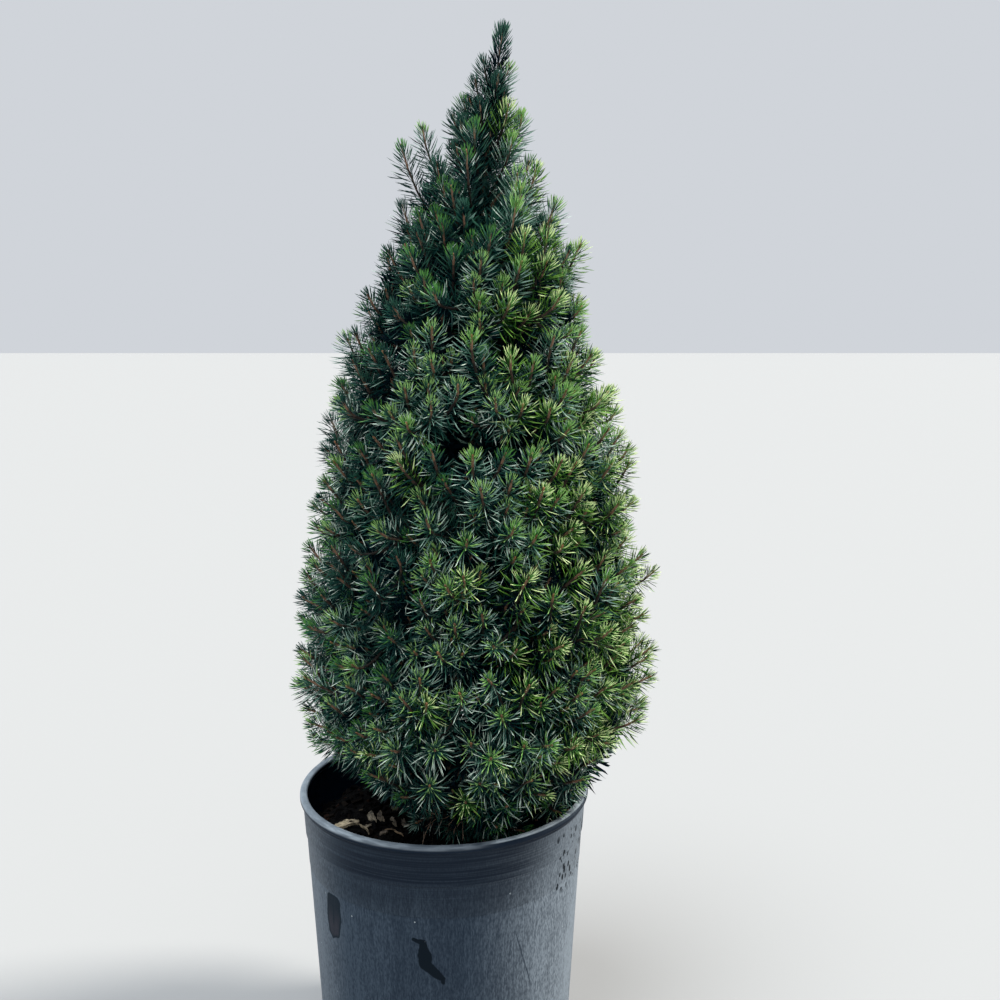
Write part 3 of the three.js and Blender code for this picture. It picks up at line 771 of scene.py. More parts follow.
class Slice:
    """One mass's share of the crown: across from -1 to 1, rise from 0 to 1, depth from 0 to 1."""

    def __init__(self, level, index):
        self.tier = TIERS[level]
        self.above = TIERS[level + 1] if level + 1 < len(TIERS) else SPIRE_END
        self.half_angle = math.pi / self.tier.boughs
        self.middle = math.radians(self.tier.turn + index * 360 / self.tier.boughs)
        self.seed = 1000 * (level + 1) + 10 * (index + 1)
        self.node = f"{self.tier.name}_{index + 1}"
        self.on_trunk = self.tier.name == "spire"

    def place(self, across, rise, depth):
        edge = lerp(self.tier.edge, self.above.edge, rise)
        height = lerp(lerp(self.tier.root, self.above.root, rise), edge, depth)
        step = outward(self.middle + across * self.half_angle, crown_radius(edge) * depth)
        return trunk_line(height) + step

    def holds(self, point, margin):
        radius = out_from_trunk(point)
        angle = azimuth_of(point) - self.middle
        aside = abs(math.atan2(math.sin(angle), math.cos(angle)))
        lowest, highest = (
            tier.root + radius * (tier.edge - tier.root) / crown_radius(tier.edge)
            for tier in (self.tier, self.above)
        )
        in_slice = radius * math.sin(self.half_angle - aside) > margin
        return in_slice and lowest + margin < point[2] < highest - margin


def limb_meshes(paths, radii, sides, relief=0.0, seed=0):
    """Round limbs along many paths of as many points each; returns their corners and triangles."""
    paths = np.asarray(paths, float)
    radii = np.asarray(radii, float)
    count, steps = paths.shape[:2]
    way = np.gradient(paths, axis=1)
    way /= np.linalg.norm(way, axis=2, keepdims=True)
    mean = paths[:, -1] - paths[:, 0]
    level = np.abs(mean[:, 2]) < 0.9 * np.linalg.norm(mean, axis=1)
    upright = np.where(level[:, None], [0.0, 0.0, 1.0], [1.0, 0.0, 0.0])
    side = np.cross(way, upright[:, None])
    side /= np.linalg.norm(side, axis=2, keepdims=True)
    top = np.cross(side, way)
    angle = np.arange(sides) * 2 * math.pi / sides
    ring = side[:, :, None] * np.cos(angle)[:, None] + top[:, :, None] * np.sin(angle)[:, None]
    rough = 1 + relief * np.random.default_rng(seed).uniform(-1, 1, (count, steps, sides, 1))
    walls = paths[:, :, None] + ring * radii[:, :, None, None] * rough
    ends = np.stack([paths[:, 0], paths[:, -1]], 1)
    corners = np.concatenate([walls.reshape(count, -1, 3), ends], 1)
    here = (np.arange(steps - 1)[:, None] * sides + np.arange(sides)).ravel()
    beside = (np.arange(steps - 1)[:, None] * sides + (np.arange(sides) + 1) % sides).ravel()
    lower = np.stack([here, beside + sides, beside], 1)
    upper = np.stack([here, here + sides, beside + sides], 1)
    around = np.arange(sides)
    onward = (around + 1) % sides
    last = (steps - 1) * sides
    foot_fan = np.stack([around, onward, np.full(sides, steps * sides)], 1)
    tip_fan = np.stack([around + last, np.full(sides, steps * sides + 1), onward + last], 1)
    wall_bands = np.stack([lower, upper], 1).reshape(-1, 3)
    triangles = np.concatenate([wall_bands, foot_fan, tip_fan])
    triangles = triangles[None] + corners.shape[1] * np.arange(count)[:, None, None]
    return corners.reshape(-1, 3), triangles.reshape(-1, 3)


slices = [Slice(level, index) for level, tier in enumerate(TIERS) for index in range(tier.boughs)]
bough_paths = []
bough_radii = []
for piece in slices:
    rng = np.random.default_rng(piece.seed)
    end_depth = 0.92 * piece.tier.core
    depths = np.linspace(0, end_depth, BOUGH_STEPS)
    path = np.array([piece.place(0, 0.5, depth) for depth in depths])
    crook = rng.normal(size=(2, 3)) * 0.9
    waves = np.sin(np.outer(depths / end_depth, [5.0, 9.0]) * math.pi / 2) * [1.0, 0.5]
    path += waves @ crook * np.linspace(0, 1, BOUGH_STEPS)[:, None] ** 0.5
    if piece.on_trunk:
        thick = np.interp(depths, [0, end_depth], [BOUGH_TIP_RADIUS, STEM_TIP_RADIUS])
    else:
        thick = np.interp(
            depths,
            [0, BOUGH_END, end_depth],
            [BOUGH_FOOT_RADIUS, BOUGH_TIP_RADIUS, STEM_TIP_RADIUS],
        )
    piece.stem = path[depths >= (0 if piece.on_trunk else BOUGH_END)]
    bough_paths.append(path)
    bough_radii.append(thick * shoot_scale(path[0][2]))
corners, triangles = limb_meshes(bough_paths, bough_radii, BOUGH_SIDES, relief=0.09, seed=5)
bough_bark = bark_finish("bough bark", (0.04, 0.02, 0.012, 1), (0.13, 0.075, 0.045, 1), 900)
boughs = joined_piece("boughs", corners, triangles, [bough_bark], np.zeros(len(triangles)), smooth=True)
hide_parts(*[f"bough_{piece.node}" for piece in slices if not piece.on_trunk])

# The shoots: where each one's tip stands and which way it points. The leading shoots of a mass stand on
# an uneven grid over its outer face. Finer shoots fill the crown's face between them wherever there is
# room, and two inner storeys stand in their shade. The trunk itself ends in a leader.
LongShoot = namedtuple("LongShoot", "azimuth radius height")
LONG_SHOOTS = [
    LongShoot(178, 37, 536),
    LongShoot(190, 47, 525),
    LongShoot(2, 41, 497),
    LongShoot(183, 70, 425),
    LongShoot(178, 76, 400),
    LongShoot(-8, 56, 474),
    LongShoot(3, 104, 294),
    LongShoot(-6, 102, 236),
    LongShoot(181, 100, 228),
    LongShoot(176, 97, 288),
]
# How far inside a slice the tip of a single shoot must lie to count as its own.
LONG_MARGIN = 2
SINGLE_MARGIN = 0.3
TIP_DEPTH = 1.025
GRID_JITTER = 0.35
DEPTH_JITTER = 0.06
SIDE_LIMIT = 0.86
AZIMUTH_JITTER = 0.5
RISE_JITTER = 18
TIP_NEEDLES = 5
LEADING_FORKS = (0.35, 0.95)
SPIRE_FORKS = 420
FORK_BACK = 34
SHORTEST_SHOOT = 9
SHOOT_SPACING = 13.4
INNER_SPACING = 15.0
DEEP_SPACING = 16.0
SPIRE_CROWDING = 0.9
SKIRT_SPREAD = 1.3
CROWDING = 0.3
INNER_TOP = 505
OPEN_AZIMUTH = -165
OPEN_HALF_WIDTH = 46
OPEN_BELOW = 180
BARE_TRUNK = (482, 550)
BARE_HALF_WIDTH = 8
# One fine shoot that stands out at the crown's left, and one near the trunk that fills the crown's foot.
SIDE_SHOOT = LongShoot(181, 92, 332)
CORE_SHOOT = LongShoot(-130, 18, 206)
# Places where the crown's outline draws in: no finer or inner shoot ends beyond the radius there.
Notch = namedtuple("Notch", "azimuth low high radius")
NOTCHES = [
    Notch(0, 392, 438, 64),
    Notch(0, 488, 507, 16),
    Notch(0, 507, 520, 20),
    Notch(0, 520, 538, 14),
    Notch(0, 538, 562, 6),
    Notch(0, 305, 326, 88),
    Notch(0, 176, 199, 68),
    Notch(180, 433, 459, 51),
    Notch(180, 176, 204, 84),
]
NOTCH_HALF_WIDTH = 38
# Hollows under the crown, where the pot's inside or its edge shows: no shoot of any kind ends there.
# Each has its azimuth, half width, the height below which it lies and the radius where it starts.
Hollow = namedtuple("Hollow", "azimuth half_width below radius")
HOLLOWS = [Hollow(-158, 32, 197, 62), Hollow(-143, 12, 211, 80), Hollow(-16, 30, 207, 83)]
TRIES = 420
SHOOT_STEPS = 7

Shoot = namedtuple("Shoot", "path way kind tier")


def seeded(seed):
    """The plant's own repeatable stream of numbers from 0 to 1."""
    state = seed

    def draw():
        nonlocal state
        state = (state * 1664525 + 1013904223) % 4294967296
        return state / 4294967296

    return draw


def shoot_rise(height):
    """How steeply shoots rise, in degrees, from a low slant in the skirt to upright at the top."""
    return 16 + 64 * clamp((height - 165) / 380) ** 0.8


def shoot_way(tip, draw, swing=1.0):
    """Which way a shoot points: away from the trunk and up, turned a little to any side."""
    azimuth = azimuth_of(tip) + (draw() - 0.5) * AZIMUTH_JITTER * swing
    rise = math.radians(shoot_rise(tip[2]) + (draw() - 0.5) * RISE_JITTER * swing)
    level = math.cos(rise)
    return np.array([math.cos(azimuth) * level, math.sin(azimuth) * level, math.sin(rise)])


def in_opening(tip, higher=0, wider=0):
    """The crown's underside stands open at the left, where the potting mix shows."""
    aside = azimuth_of(tip) - math.radians(OPEN_AZIMUTH)
    half_width = math.radians(OPEN_HALF_WIDTH + wider)
    return tip[2] < OPEN_BELOW + higher and math.cos(aside) > math.cos(half_width)


def tip_of(shoot):
    return trunk_line(shoot.height) + outward(math.radians(shoot.azimuth), shoot.radius)


def leading_tips(piece, draw):
    """A mass's grid of leading tips, and the long shoots that stand in its share of the crown."""
    tips = []
    for row in range(piece.tier.up):
        columns = piece.tier.across - row % 2
        for column in range(columns):
            across = (column + 0.5 + (draw() - 0.5) * GRID_JITTER) / columns * 2 - 1
            rise = (row + 0.5 + (draw() - 0.5) * GRID_JITTER) / piece.tier.up
            depth = TIP_DEPTH - DEPTH_JITTER * draw()
            across = min(SIDE_LIMIT, max(-SIDE_LIMIT, across))
            tip = piece.place(across, rise, depth)
            if not in_opening(tip):
                tips.append(tip)
    return tips + [tip for tip in map(tip_of, LONG_SHOOTS) if piece.holds(tip, LONG_MARGIN)]


def bowed(start, end, way, steps=SHOOT_STEPS):
    """A shoot's line: it leaves its fork at a slant and bows over to its own way."""
    bend = end - 0.45 * np.linalg.norm(end - start) * way
    t = np.linspace(0, 1, steps)[:, None]
    return (1 - t) ** 2 * start + 2 * t * (1 - t) * bend + t ** 2 * end


def degrees_aside(tip, azimuth):
    return abs((math.degrees(azimuth_of(tip)) - azimuth + 180) % 360 - 180)


def spire_fork(tip):
    """In the spire a shoot leaves the trunk itself, some way below its tip."""
    return trunk_line(max(tip[2] - 1.2 * out_from_trunk(tip) - 12, SPIRE_FORKS))


def in_hollow(tip):
    return any(
        tip[2] < hollow.below
        and out_from_trunk(tip) > hollow.radius
        and degrees_aside(tip, hollow.azimuth) < hollow.half_width
        for hollow in HOLLOWS
    )


def before_trunk(tip):
    """Near the top the trunk shows from the front, between the shoots on both sides of it."""
    off = off_trunk(tip)
    return BARE_TRUNK[0] < tip[2] < BARE_TRUNK[1] and off[1] < 0 and abs(off[0]) < BARE_HALF_WIDTH


shoots = []
outer_tips = []
for piece in slices:
    draw = seeded(piece.seed)
    piece.forks = [piece.stem[len(piece.stem) // 3:]]
    for tip in leading_tips(piece, draw):
        way = shoot_way(tip, draw)
        along = lerp(*LEADING_FORKS, draw())
        if in_hollow(tip) or before_trunk(tip):
            continue
        end = tip - TIP_NEEDLES * way
        if piece.on_trunk:
            fork = spire_fork(tip)
        else:
            fork = piece.stem[round(along * (len(piece.stem) - 1))]
        shoots.append(Shoot(bowed(fork, end, way), way, "leading", piece.tier.name))
        outer_tips.append(tip)
        piece.forks.append(bowed(fork, end, way, 14)[3:11])
    piece.forks = np.concatenate(piece.forks)


def in_notch(tip):
    return any(
        notch.low < tip[2] < notch.high
        and out_from_trunk(tip) > notch.radius
        and degrees_aside(tip, notch.azimuth) < NOTCH_HALF_WIDTH
        for notch in NOTCHES
    )


def crowding(tip):
    """Shoots crowd together in upright plumes, with darker furrows between them."""
    azimuth = azimuth_of(tip)
    plumes = math.sin(9 * azimuth + tip[2] / 38) + math.sin(5 * azimuth - tip[2] / 21 + 2)
    return 1 + CROWDING * plumes / 2


def nearest_other(tip):
    """Shoots stand a little closer in the spire, and further apart in the skirt."""
    closer = lerp(1, SPIRE_CROWDING, clamp((tip[2] - 400) / 130))
    return closer * lerp(1, SKIRT_SPREAD, clamp((215 - tip[2]) / 30)) * crowding(tip)


def filled_in(kind, spacing, shallow, deep, tips, seed, swing, first=None):
    """Adds shoots at random places of every slice, wherever no other tip stands too close."""
    tips = list(tips)
    rng = np.random.default_rng(seed)
    for piece in slices:
        tries = [
            piece.place(rng.uniform(-0.99, 0.99), rng.uniform(0.0, 1.0), rng.uniform(deep, shallow))
            for _ in range(TRIES)
        ]
        if first is not None and piece.holds(tip_of(first), SINGLE_MARGIN):
            tries.insert(0, tip_of(first))
        for tip in tries:
            if kind != "finer" and tip[2] > INNER_TOP or in_opening(tip, 14, 18):
                continue
            if in_notch(tip) or in_hollow(tip) or before_trunk(tip):
                continue
            others = np.linalg.norm(np.array(tips) - tip, axis=1) if tips else [math.inf]
            if np.min(others) < spacing * nearest_other(tip):
                continue
            way = shoot_way(tip, rng.random, swing)
            end = tip - TIP_NEEDLES * way
            if piece.on_trunk:
                fork = spire_fork(tip)
            else:
                wished = end - FORK_BACK * way
                fork = piece.forks[np.argmin(np.linalg.norm(piece.forks - wished, axis=1))]
            if np.linalg.norm(end - fork) < SHORTEST_SHOOT:
                continue
            tips.append(tip)
            shoots.append(Shoot(bowed(fork, end, way), way, kind, piece.tier.name))


filled_in("finer", SHOOT_SPACING, 1.01, 0.86, outer_tips, 21, 1.3, SIDE_SHOOT)
filled_in("inner", INNER_SPACING, 0.86, 0.62, [], 22, 2.2)
filled_in("deep", DEEP_SPACING, 0.6, 0.3, [], 23, 3.0, CORE_SHOOT)

# The leader goes on from the trunk's tip, with short shoots pressed close round it.
LEADER_SHOOTS = [
    LongShoot(180, 9, 569),
    LongShoot(5, 7, 566),
    LongShoot(-80, 8, 560),
    LongShoot(95, 8, 562),
    LongShoot(188, 12, 559),
    LongShoot(172, 17, 549),
    LongShoot(-25, 7, 552),
    LongShoot(50, 9, 550),
    LongShoot(140, 14, 549),
    LongShoot(-120, 14, 546),
    LongShoot(183, 21, 541),
]
LEADER_FOOT = TRUNK_TOP - 30
LEADER_SPREAD = 0.28
LEADER_RUN = 26


def unit(vector):
    return vector / np.linalg.norm(vector)


leader_way = unit(trunk_line(PLANT_TOP) - trunk_line(LEADER_FOOT))
leader_heights = np.linspace(LEADER_FOOT, PLANT_TOP - TIP_NEEDLES, SHOOT_STEPS)
leader_path = np.array([trunk_line(height) for height in leader_heights])
shoots.append(Shoot(leader_path, leader_way, "leader", "spire"))
for near_leader in LEADER_SHOOTS:
    way = unit(outward(math.radians(near_leader.azimuth), LEADER_SPREAD) + leader_way)
    fork = trunk_line(near_leader.height - LEADER_RUN)
    end = tip_of(near_leader) - TIP_NEEDLES * way
    shoots.append(Shoot(bowed(fork, end, way), way, "finer", "spire"))

# The twigs: each shoot's own stem, thin and ridged. The last centimetre is orange-brown, the piece
# before it a duller brown, and the old wood inside the crown is nearly black.
TWIG_SIDES = 5
TWIG_TIP_RADIUS = 0.62
TWIG_FOOT_RADIUS = 0.9
TWIG_FINISHES = [
    plain_finish("old twig bark", (0.014, 0.01, 0.008, 1), 0.85, 0.2),
    plain_finish("dull brown twig bark", (0.05, 0.03, 0.021, 1), 0.75, 0.25),
    plain_finish("orange-brown twig bark", (0.16, 0.085, 0.05, 1), 0.65, 0.3),
]
twig_paths = np.array([shoot.path for shoot in shoots])
twig_sizes = np.array([shoot_scale(shoot.path[-1][2]) for shoot in shoots])
twig_radii = np.linspace(TWIG_FOOT_RADIUS, TWIG_TIP_RADIUS, SHOOT_STEPS) * twig_sizes[:, None] ** 0.5
corners, triangles = limb_meshes(twig_paths, twig_radii, TWIG_SIDES, relief=0.12, seed=6)
# Each step of a twig's walls has two triangles to a side, and its foot and tip have one to a side.
step_finishes = [0, 0, 0, 0, 1, 2]
one_twig = np.concatenate([np.repeat(step_finishes, 2 * TWIG_SIDES), np.repeat([0, 2], TWIG_SIDES)])
kinds = np.tile(one_twig, len(shoots))
twigs = joined_piece("twigs", corners, triangles, TWIG_FINISHES, kinds, smooth=True)
mass_nodes = sorted(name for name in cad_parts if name.startswith("needles_"))
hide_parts(*mass_nodes, "leader_tuft")

# The buds: one resting bud on the end of each shoot that reaches the light, plump and orange-brown.
BUD_LENGTH = 2.2
BUD_RADIUS = 0.75
BUD_SIDES = 6
BUD_RUN = np.array([-0.3, 0.15, 0.6, 0.88])
BUD_SWELL = np.array([0.55, 1.0, 0.75, 0.35])
BUD_FINISHES = [
    plain_finish("orange-brown bud scales", (0.26, 0.12, 0.05, 1), 0.5),
    plain_finish("chestnut bud scales", (0.14, 0.065, 0.032, 1), 0.5),
]
lit = [shoot for shoot in shoots if shoot.kind not in ("inner", "deep")]
ends = np.array([shoot.path[-1] for shoot in lit])
ways = np.array([unit(shoot.path[-1] - shoot.path[-2]) for shoot in lit])
rng = np.random.default_rng(31)
bud_sizes = rng.uniform(0.75, 1.15, len(lit))
bud_steps = ways * bud_sizes[:, None] * BUD_LENGTH
bud_paths = ends[:, None] + BUD_RUN[:, None] * bud_steps[:, None]
bud_radii = BUD_SWELL * BUD_RADIUS * bud_sizes[:, None]
corners, triangles = limb_meshes(bud_paths, bud_radii, BUD_SIDES)
kinds = np.repeat(rng.integers(0, len(BUD_FINISHES), len(lit)), len(triangles) // len(lit))
buds = joined_piece("buds", corners, triangles, BUD_FINISHES, kinds, smooth=True)
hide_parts(*mass_nodes, "leader_tuft")

# The needles: stiff and four-edged, set all round the shoot in a spiral. Those at the tip are short,
# fresh and point forward. Further back they are older, longer and stand out, and on the lower side they
# lean back. Each is a slim blade of six faces bent forward, dark from its foot and paler to its tip; the
# dark foot is partly painted shade near the stem.
GOLDEN_TURN = math.pi * (3 - math.sqrt(5))
NEEDLE_FINISHES = [
    plain_finish("needle in deep shade", (0.0004, 0.007, 0.012, 1), 0.6, 0.04),
    plain_finish("old needle", (0.003, 0.037, 0.032, 1), 0.42, 0.2),
    plain_finish("grown needle", (0.021, 0.092, 0.06, 1), 0.38, 0.3),
    plain_finish("greyed needle", (0.21, 0.34, 0.275, 1), 0.36, 0.4),
    # Pale banded needles, brightened further as a painted sheen of the sky.
    plain_finish("banded needle", (0.6, 0.72, 0.62, 1), 0.36, 0.4),
    plain_finish("fresh needle", (0.075, 0.24, 0.045, 1), 0.38, 0.3),
    plain_finish("bright needle", (0.3, 0.52, 0.16, 1), 0.38, 0.3),
    # Yellow-green needles in the sun: a painted sun highlight.
    plain_finish("yellowed needle", (0.68, 0.82, 0.38, 1), 0.38, 0.3),
    plain_finish("sunlit needle", (0.15, 0.32, 0.045, 1), 0.38, 0.25),
    # Old needles as the sun lights them on the right side: painted light.
    plain_finish("moss-green needle", (0.014, 0.062, 0.006, 1), 0.4, 0.15),
    plain_finish("browned needle", (0.22, 0.145, 0.095, 1), 0.6),
]
DEEP, OLD, GROWN, GREYED, BANDED_WITH_SHEEN, FRESH, BRIGHT, YELLOW_SUN_HIGHLIGHT, SUNLIT, SUNLIT_OLD, BROWNED = range(11)
# What a shoot wears, from its tip back: finishes of the foot half and of the tip half of the needles.
# The foot half is darker partly as painted shade near the stem. The dresses from shaded through plain,
# greyed and fresh to sunny are lit and shaded copies of the needles: painted light by the sun a shoot gets.
DRESSES = {
    "inner": [(DEEP, DEEP), (DEEP, OLD), (DEEP, DEEP), (DEEP, DEEP)],
    "shaded": [(OLD, GROWN), (OLD, GROWN), (DEEP, OLD), (DEEP, DEEP)],
    "plain": [(GROWN, FRESH), (OLD, GROWN), (OLD, GROWN), (OLD, OLD)],
    "greyed": [(GROWN, BRIGHT), (GROWN, GREYED), (OLD, GREYED), (OLD, GROWN)],
    "fresh": [(FRESH, BRIGHT), (GROWN, GREYED), (OLD, GREYED), (OLD, GROWN)],
    "sunny": [(FRESH, YELLOW_SUN_HIGHLIGHT), (SUNLIT_OLD, SUNLIT), (SUNLIT_OLD, SUNLIT), (DEEP, SUNLIT_OLD)],
    "browned": [(GROWN, GREYED), (BROWNED, BANDED_WITH_SHEEN), (OLD, GREYED), (OLD, OLD)],
    "withered": [(OLD, GREYED), (DEEP, BROWNED), (BROWNED, BROWNED), (DEEP, BROWNED)],
}
# On every shoot some needles turn their paler, banded side out, brightened as a painted sheen of the sky,
# and others hang in the shade of those, more at the foot of the crown than at its top.
PALE_AND_SHEEN_SHARES = (0.3, 0.17)
DARK_SHARES = (0.3, 0.05)
AGE_ENDS = [5.5, 11.0, 17.0]
NEEDLE_RADIUS = 0.285
NEEDLE_WAIST = 0.52
NEEDLE_KNEES = (0.28, 0.55, 0.82)
NEEDLE_TRIANGLES = np.array([(0, 3, 2), (0, 4, 3), (0, 2, 4), (1, 2, 3), (1, 3, 4), (1, 4, 2)])
# By how far back from the shoot's tip it stands: a needle's lean off the shoot in degrees, its length.
NEEDLE_LEANS = ([0, 2, 5, 9, 16, 32], [12, 28, 45, 59, 70, 80])
NEEDLE_LENGTHS = ([0, 2, 5, 9, 16], [6.4, 7.6, 9.6, 11.9, 13.4])
LEADER_LEANS = ([0, 6, 30], [13, 29, 42])
LEADER_LENGTHS = ([0, 4], [6.5, 10.5])
CLOTHED = 33
# How many needles a shoot wears, and how much longer and wider they are than those of an outer shoot.
Clothing = namedtuple("Clothing", "needles longer wider")
CLOTHING = {
    "leading": Clothing(118, 1.0, 1.0),
    "finer": Clothing(114, 1.0, 1.0),
    "leader": Clothing(190, 1.0, 1.25),
    "inner": Clothing(60, 1.1, 2.9),
    "deep": Clothing(44, 1.3, 3.8),
}
BROWNED_SPOT = np.array([50.0, -92.0, 275.0])
WITHERED_SPOT = np.array([-30.0, -52.0, 172.0])
WITHERED_REACH = 22.0
# Above this height the light reaches through the crown to the inner shoots.
SHADE_TOP = 460.0


def dress_of(shoot, rng):
    """The right side has the sun, and the left and the foot lie more in shade."""
    tip = shoot.path[-1]
    if np.linalg.norm(tip - WITHERED_SPOT) < WITHERED_REACH:
        return "withered"
    if shoot.kind in ("inner", "deep"):
        return "inner" if tip[2] < SHADE_TOP else "shaded"
    if np.linalg.norm(tip - BROWNED_SPOT) < SHOOT_SPACING:
        return "browned"
    proud = out_from_trunk(tip) / crown_radius(tip[2])
    sun = 0.53 + 0.37 * math.cos(azimuth_of(tip) + 0.25) - 0.1 * (tip[2] - 300) / 200
    sun += rng.normal(0, 0.15)
    sun += 0.9 * (min(proud, 1.25) - 0.96) - 0.6 * clamp((212 - tip[2]) / 45)
    # Painted light and shade: the dress is picked by how much sun the shoot gets.
    limits = [("shaded", 0.14), ("plain", 0.34), ("greyed", 0.6), ("fresh", 0.76)]
    return next((name for name, limit in limits if sun < limit), "sunny")


def needle_kinds(shoot, back, rng):
    """The finishes of a shoot's needles by how far back from its tip each stands."""
    dress = dress_of(shoot, rng)
    age = np.searchsorted(AGE_ENDS, back + rng.normal(0, 1.0, len(back)))
    kinds = np.array(DRESSES[dress])[age]
    fate = rng.random(len(back))
    rise = clamp((shoot.path[-1][2] - 200) / 250)
    sunny = dress == "sunny"
    # Pale needles show their banded side with a painted sheen, and on sunny shoots a painted sun highlight.
    pale_and_sheen_share = lerp(*PALE_AND_SHEEN_SHARES, rise) * (0.6 if sunny else 1)
    pale = (fate < pale_and_sheen_share) & (kinds[:, 1] != DEEP) & (age > 0) & (age < 3)
    old_or_sunlit = [kinds[pale, 1] == OLD, kinds[pale, 1] == SUNLIT]
    kinds[pale, 1] = np.select(old_or_sunlit, [GREYED, YELLOW_SUN_HIGHLIGHT], BANDED_WITH_SHEEN)
    dark_share = lerp(*DARK_SHARES, rise) + (0.1 if sunny else 0)
    dark = (fate > 1 - dark_share) & (kinds[:, 1] != DEEP)
    kinds[dark] = [DEEP, SUNLIT_OLD if sunny else OLD]
    return kinds


def needles_of(shoot, rng):
    """One shoot's needles: their feet, waists, tips, sections and finishes."""
    upper = clamp((shoot.path[-1][2] - 440) / 100)
    clothing = CLOTHING[shoot.kind]
    size = lerp(1.0, 0.95, upper) * clothing.longer * rng.uniform(0.8, 1.12)
    steps = np.linalg.norm(np.diff(shoot.path, axis=0), axis=1)
    back_of_point = np.append(np.cumsum(steps[::-1])[::-1], 0.0)
    whole = back_of_point[0]
    clothed = min(whole - 3, lerp(CLOTHED, 1.7 * CLOTHED, upper))
    if shoot.kind == "leader":
        clothed = whole
    count = int(clothing.needles * max(0.45, clothed / CLOTHED) ** 0.8)
    order = np.arange(count)
    back = clothed * ((order + 0.5) / count) ** lerp(1.45, 1.1, upper)
    turn = GOLDEN_TURN * order + rng.uniform(0, 2 * math.pi) + rng.normal(0, 0.15, count)
    foot, front = (
        np.stack([np.interp(where, back_of_point[::-1], shoot.path[::-1, k]) for k in range(3)], 1)
        for where in (back, np.maximum(back - 2, 0))
    )
    axis = front - foot
    axis[back < 2] = shoot.path[-1] - shoot.path[-2]
    axis /= np.linalg.norm(axis, axis=1, keepdims=True)
    upright = np.array([0.0, 0.0, 1.0]) if abs(shoot.way[2]) < 0.93 else np.array([0.0, -1.0, 0.0])
    side = np.cross(axis, upright)
    side /= np.linalg.norm(side, axis=1, keepdims=True)
    top = np.cross(side, axis)
    out = side * np.cos(turn)[:, None] + top * np.sin(turn)[:, None]
    lean = np.interp(back, *NEEDLE_LEANS) + 14 * np.maximum(0, -np.sin(turn)) * (1 - upper)
    lean = (lean + rng.normal(0, 6, count)) * lerp(1, 0.72, upper)
    length = np.interp(back, *NEEDLE_LENGTHS)
    if shoot.kind == "leader":
        lean = np.interp(back, *LEADER_LEANS) + rng.normal(0, 5, count)
        length = np.interp(back, *LEADER_LENGTHS)
    length = length * size * rng.uniform(0.84, 1.14, count)
    first = np.radians(lean + 3)[:, None]
    whole_lean = np.radians(lean - 1)[:, None]
    foot = foot + out * 0.5
    waist = foot + length[:, None] * NEEDLE_WAIST * (axis * np.cos(first) + out * np.sin(first))
    tip = foot + length[:, None] * (axis * np.cos(whole_lean) + out * np.sin(whole_lean))
    tip = tip + rng.normal(0, 0.2, (count, 3))
    radius = NEEDLE_RADIUS * clothing.wider * lerp(1, 1.12, upper) * rng.uniform(0.85, 1.15, count)
    return foot, waist, tip, radius, needle_kinds(shoot, back, rng)


def clear_of_pot(points):
    """Whether points in millimetres lie clear of the pot's wall, its lip and the potting mix."""
    out = np.hypot(points[..., 0], points[..., 1])
    height = points[..., 2]
    in_wall = (height < POT_HEIGHT + 0.6) & (out > LIP_INNER - 2) & (out < LIP_RADIUS + 0.6)
    in_mix = (height < MIX_TOP + 0.8) & (out <= LIP_INNER)
    return ~(in_wall | in_mix)


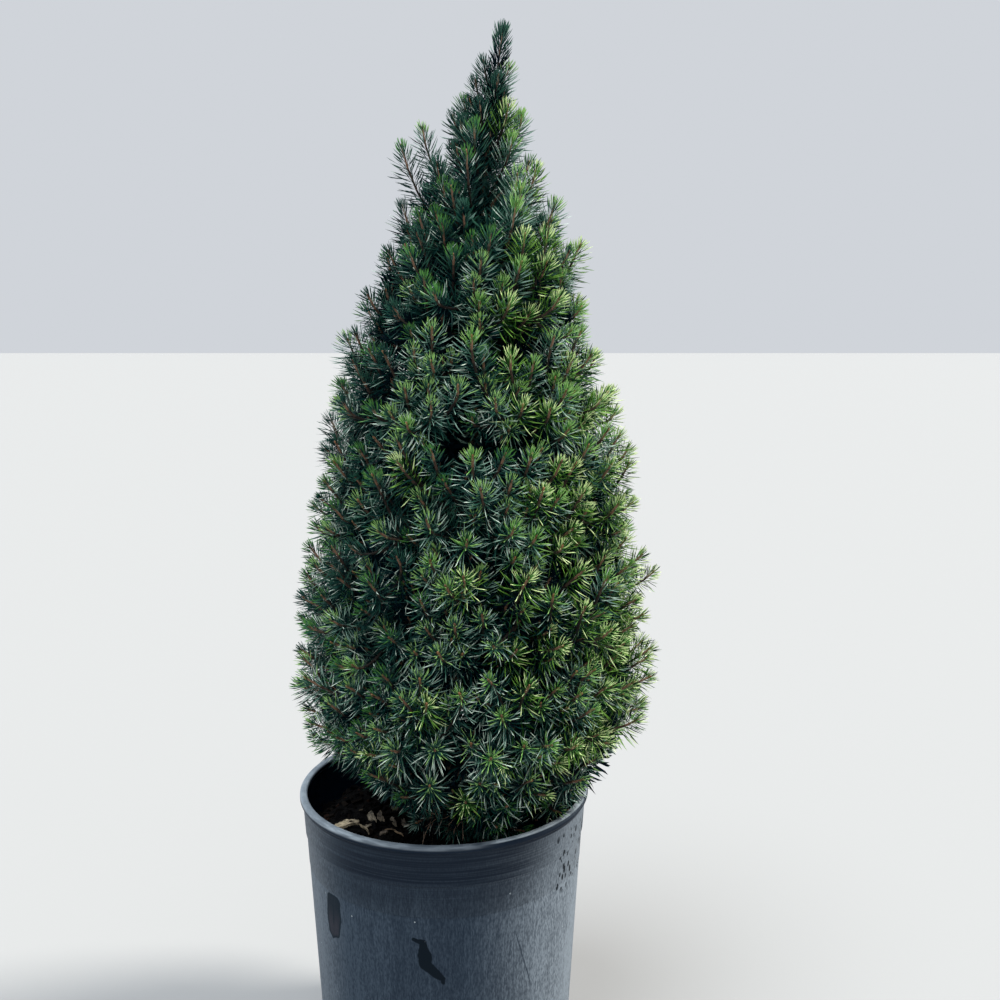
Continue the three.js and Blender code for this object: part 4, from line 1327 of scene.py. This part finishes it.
for level, tier in enumerate(TIERS):
    rng = np.random.default_rng(40 + level)
    parts = [needles_of(shoot, rng) for shoot in shoots if shoot.tier == tier.name]
    foot, waist, tip, radius, kinds = (np.concatenate(part) for part in zip(*parts))
    clear = clear_of_pot(foot) & clear_of_pot(waist) & clear_of_pot(tip)
    foot, waist, tip, radius, kinds = (part[clear] for part in (foot, waist, tip, radius, kinds))
    run = tip - foot
    run /= np.linalg.norm(run, axis=1, keepdims=True)
    across = np.cross(run, rng.normal(size=run.shape))
    across /= np.linalg.norm(across, axis=1, keepdims=True)
    other = np.cross(run, across)
    edges = []
    for knee, turn in zip(NEEDLE_KNEES, (0, 2 * math.pi / 3, 4 * math.pi / 3)):
        if knee < NEEDLE_WAIST:
            middle = lerp(foot, waist, knee / NEEDLE_WAIST)
        else:
            middle = lerp(waist, tip, (knee - NEEDLE_WAIST) / (1 - NEEDLE_WAIST))
        edges.append(middle + radius[:, None] * (math.cos(turn) * across + math.sin(turn) * other))
    corners = np.stack([foot, tip, *edges], 1)
    triangles = NEEDLE_TRIANGLES + 5 * np.arange(len(foot))[:, None, None]
    halves = np.repeat(kinds, 3, axis=1)
    needles = joined_piece(f"needles_{tier.name}", corners, triangles, NEEDLE_FINISHES, halves)
    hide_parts(*[f"needles_{piece.node}" for piece in slices if piece.tier is tier])
    if tier.name == "spire":
        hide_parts("leader_tuft")

# The stage: a plain pale floor under a soft, even sky. The brightest part of the sky stands behind the
# plant's right side, as in the picture, and a broad, weaker one overhead.
FLOOR_SIZE = 60.0
bpy.ops.object.select_all(action="DESELECT")
bpy.ops.mesh.primitive_plane_add(size=FLOOR_SIZE, location=(0, 0, 0))
floor = bpy.context.object
floor.name = "floor"
floor.data.materials.append(plain_finish("pale floor", (0.335, 0.335, 0.335, 1), 0.9, 0.2))

world = bpy.data.worlds.new("soft sky")
world.use_nodes = True
sky = world.node_tree.nodes["Background"]
sky.inputs["Color"].default_value = (0.9, 0.94, 1.0, 1)
sky.inputs["Strength"].default_value = 0.7
bpy.context.scene.world = world


def sun(name, place, spread, strength, colour):
    """A far lamp shining from a place towards the origin; its spread in degrees softens its shadows."""
    data = bpy.data.lights.new(name, "SUN")
    data.angle = math.radians(spread)
    data.energy = strength
    data.color = colour
    made = bpy.data.objects.new(name, data)
    made.rotation_euler = Vector(place).to_track_quat("Z", "Y").to_euler()
    bpy.context.scene.collection.objects.link(made)


sun("bright_cloud", (1.3, 0.1, 1.6), 12, 4.2, (1.0, 0.97, 0.9))
sun("overhead_sky", (-0.25, -0.3, 1.0), 35, 2.8, (0.9, 0.96, 1.0))
bpy.context.scene.view_settings.view_transform = "Standard"
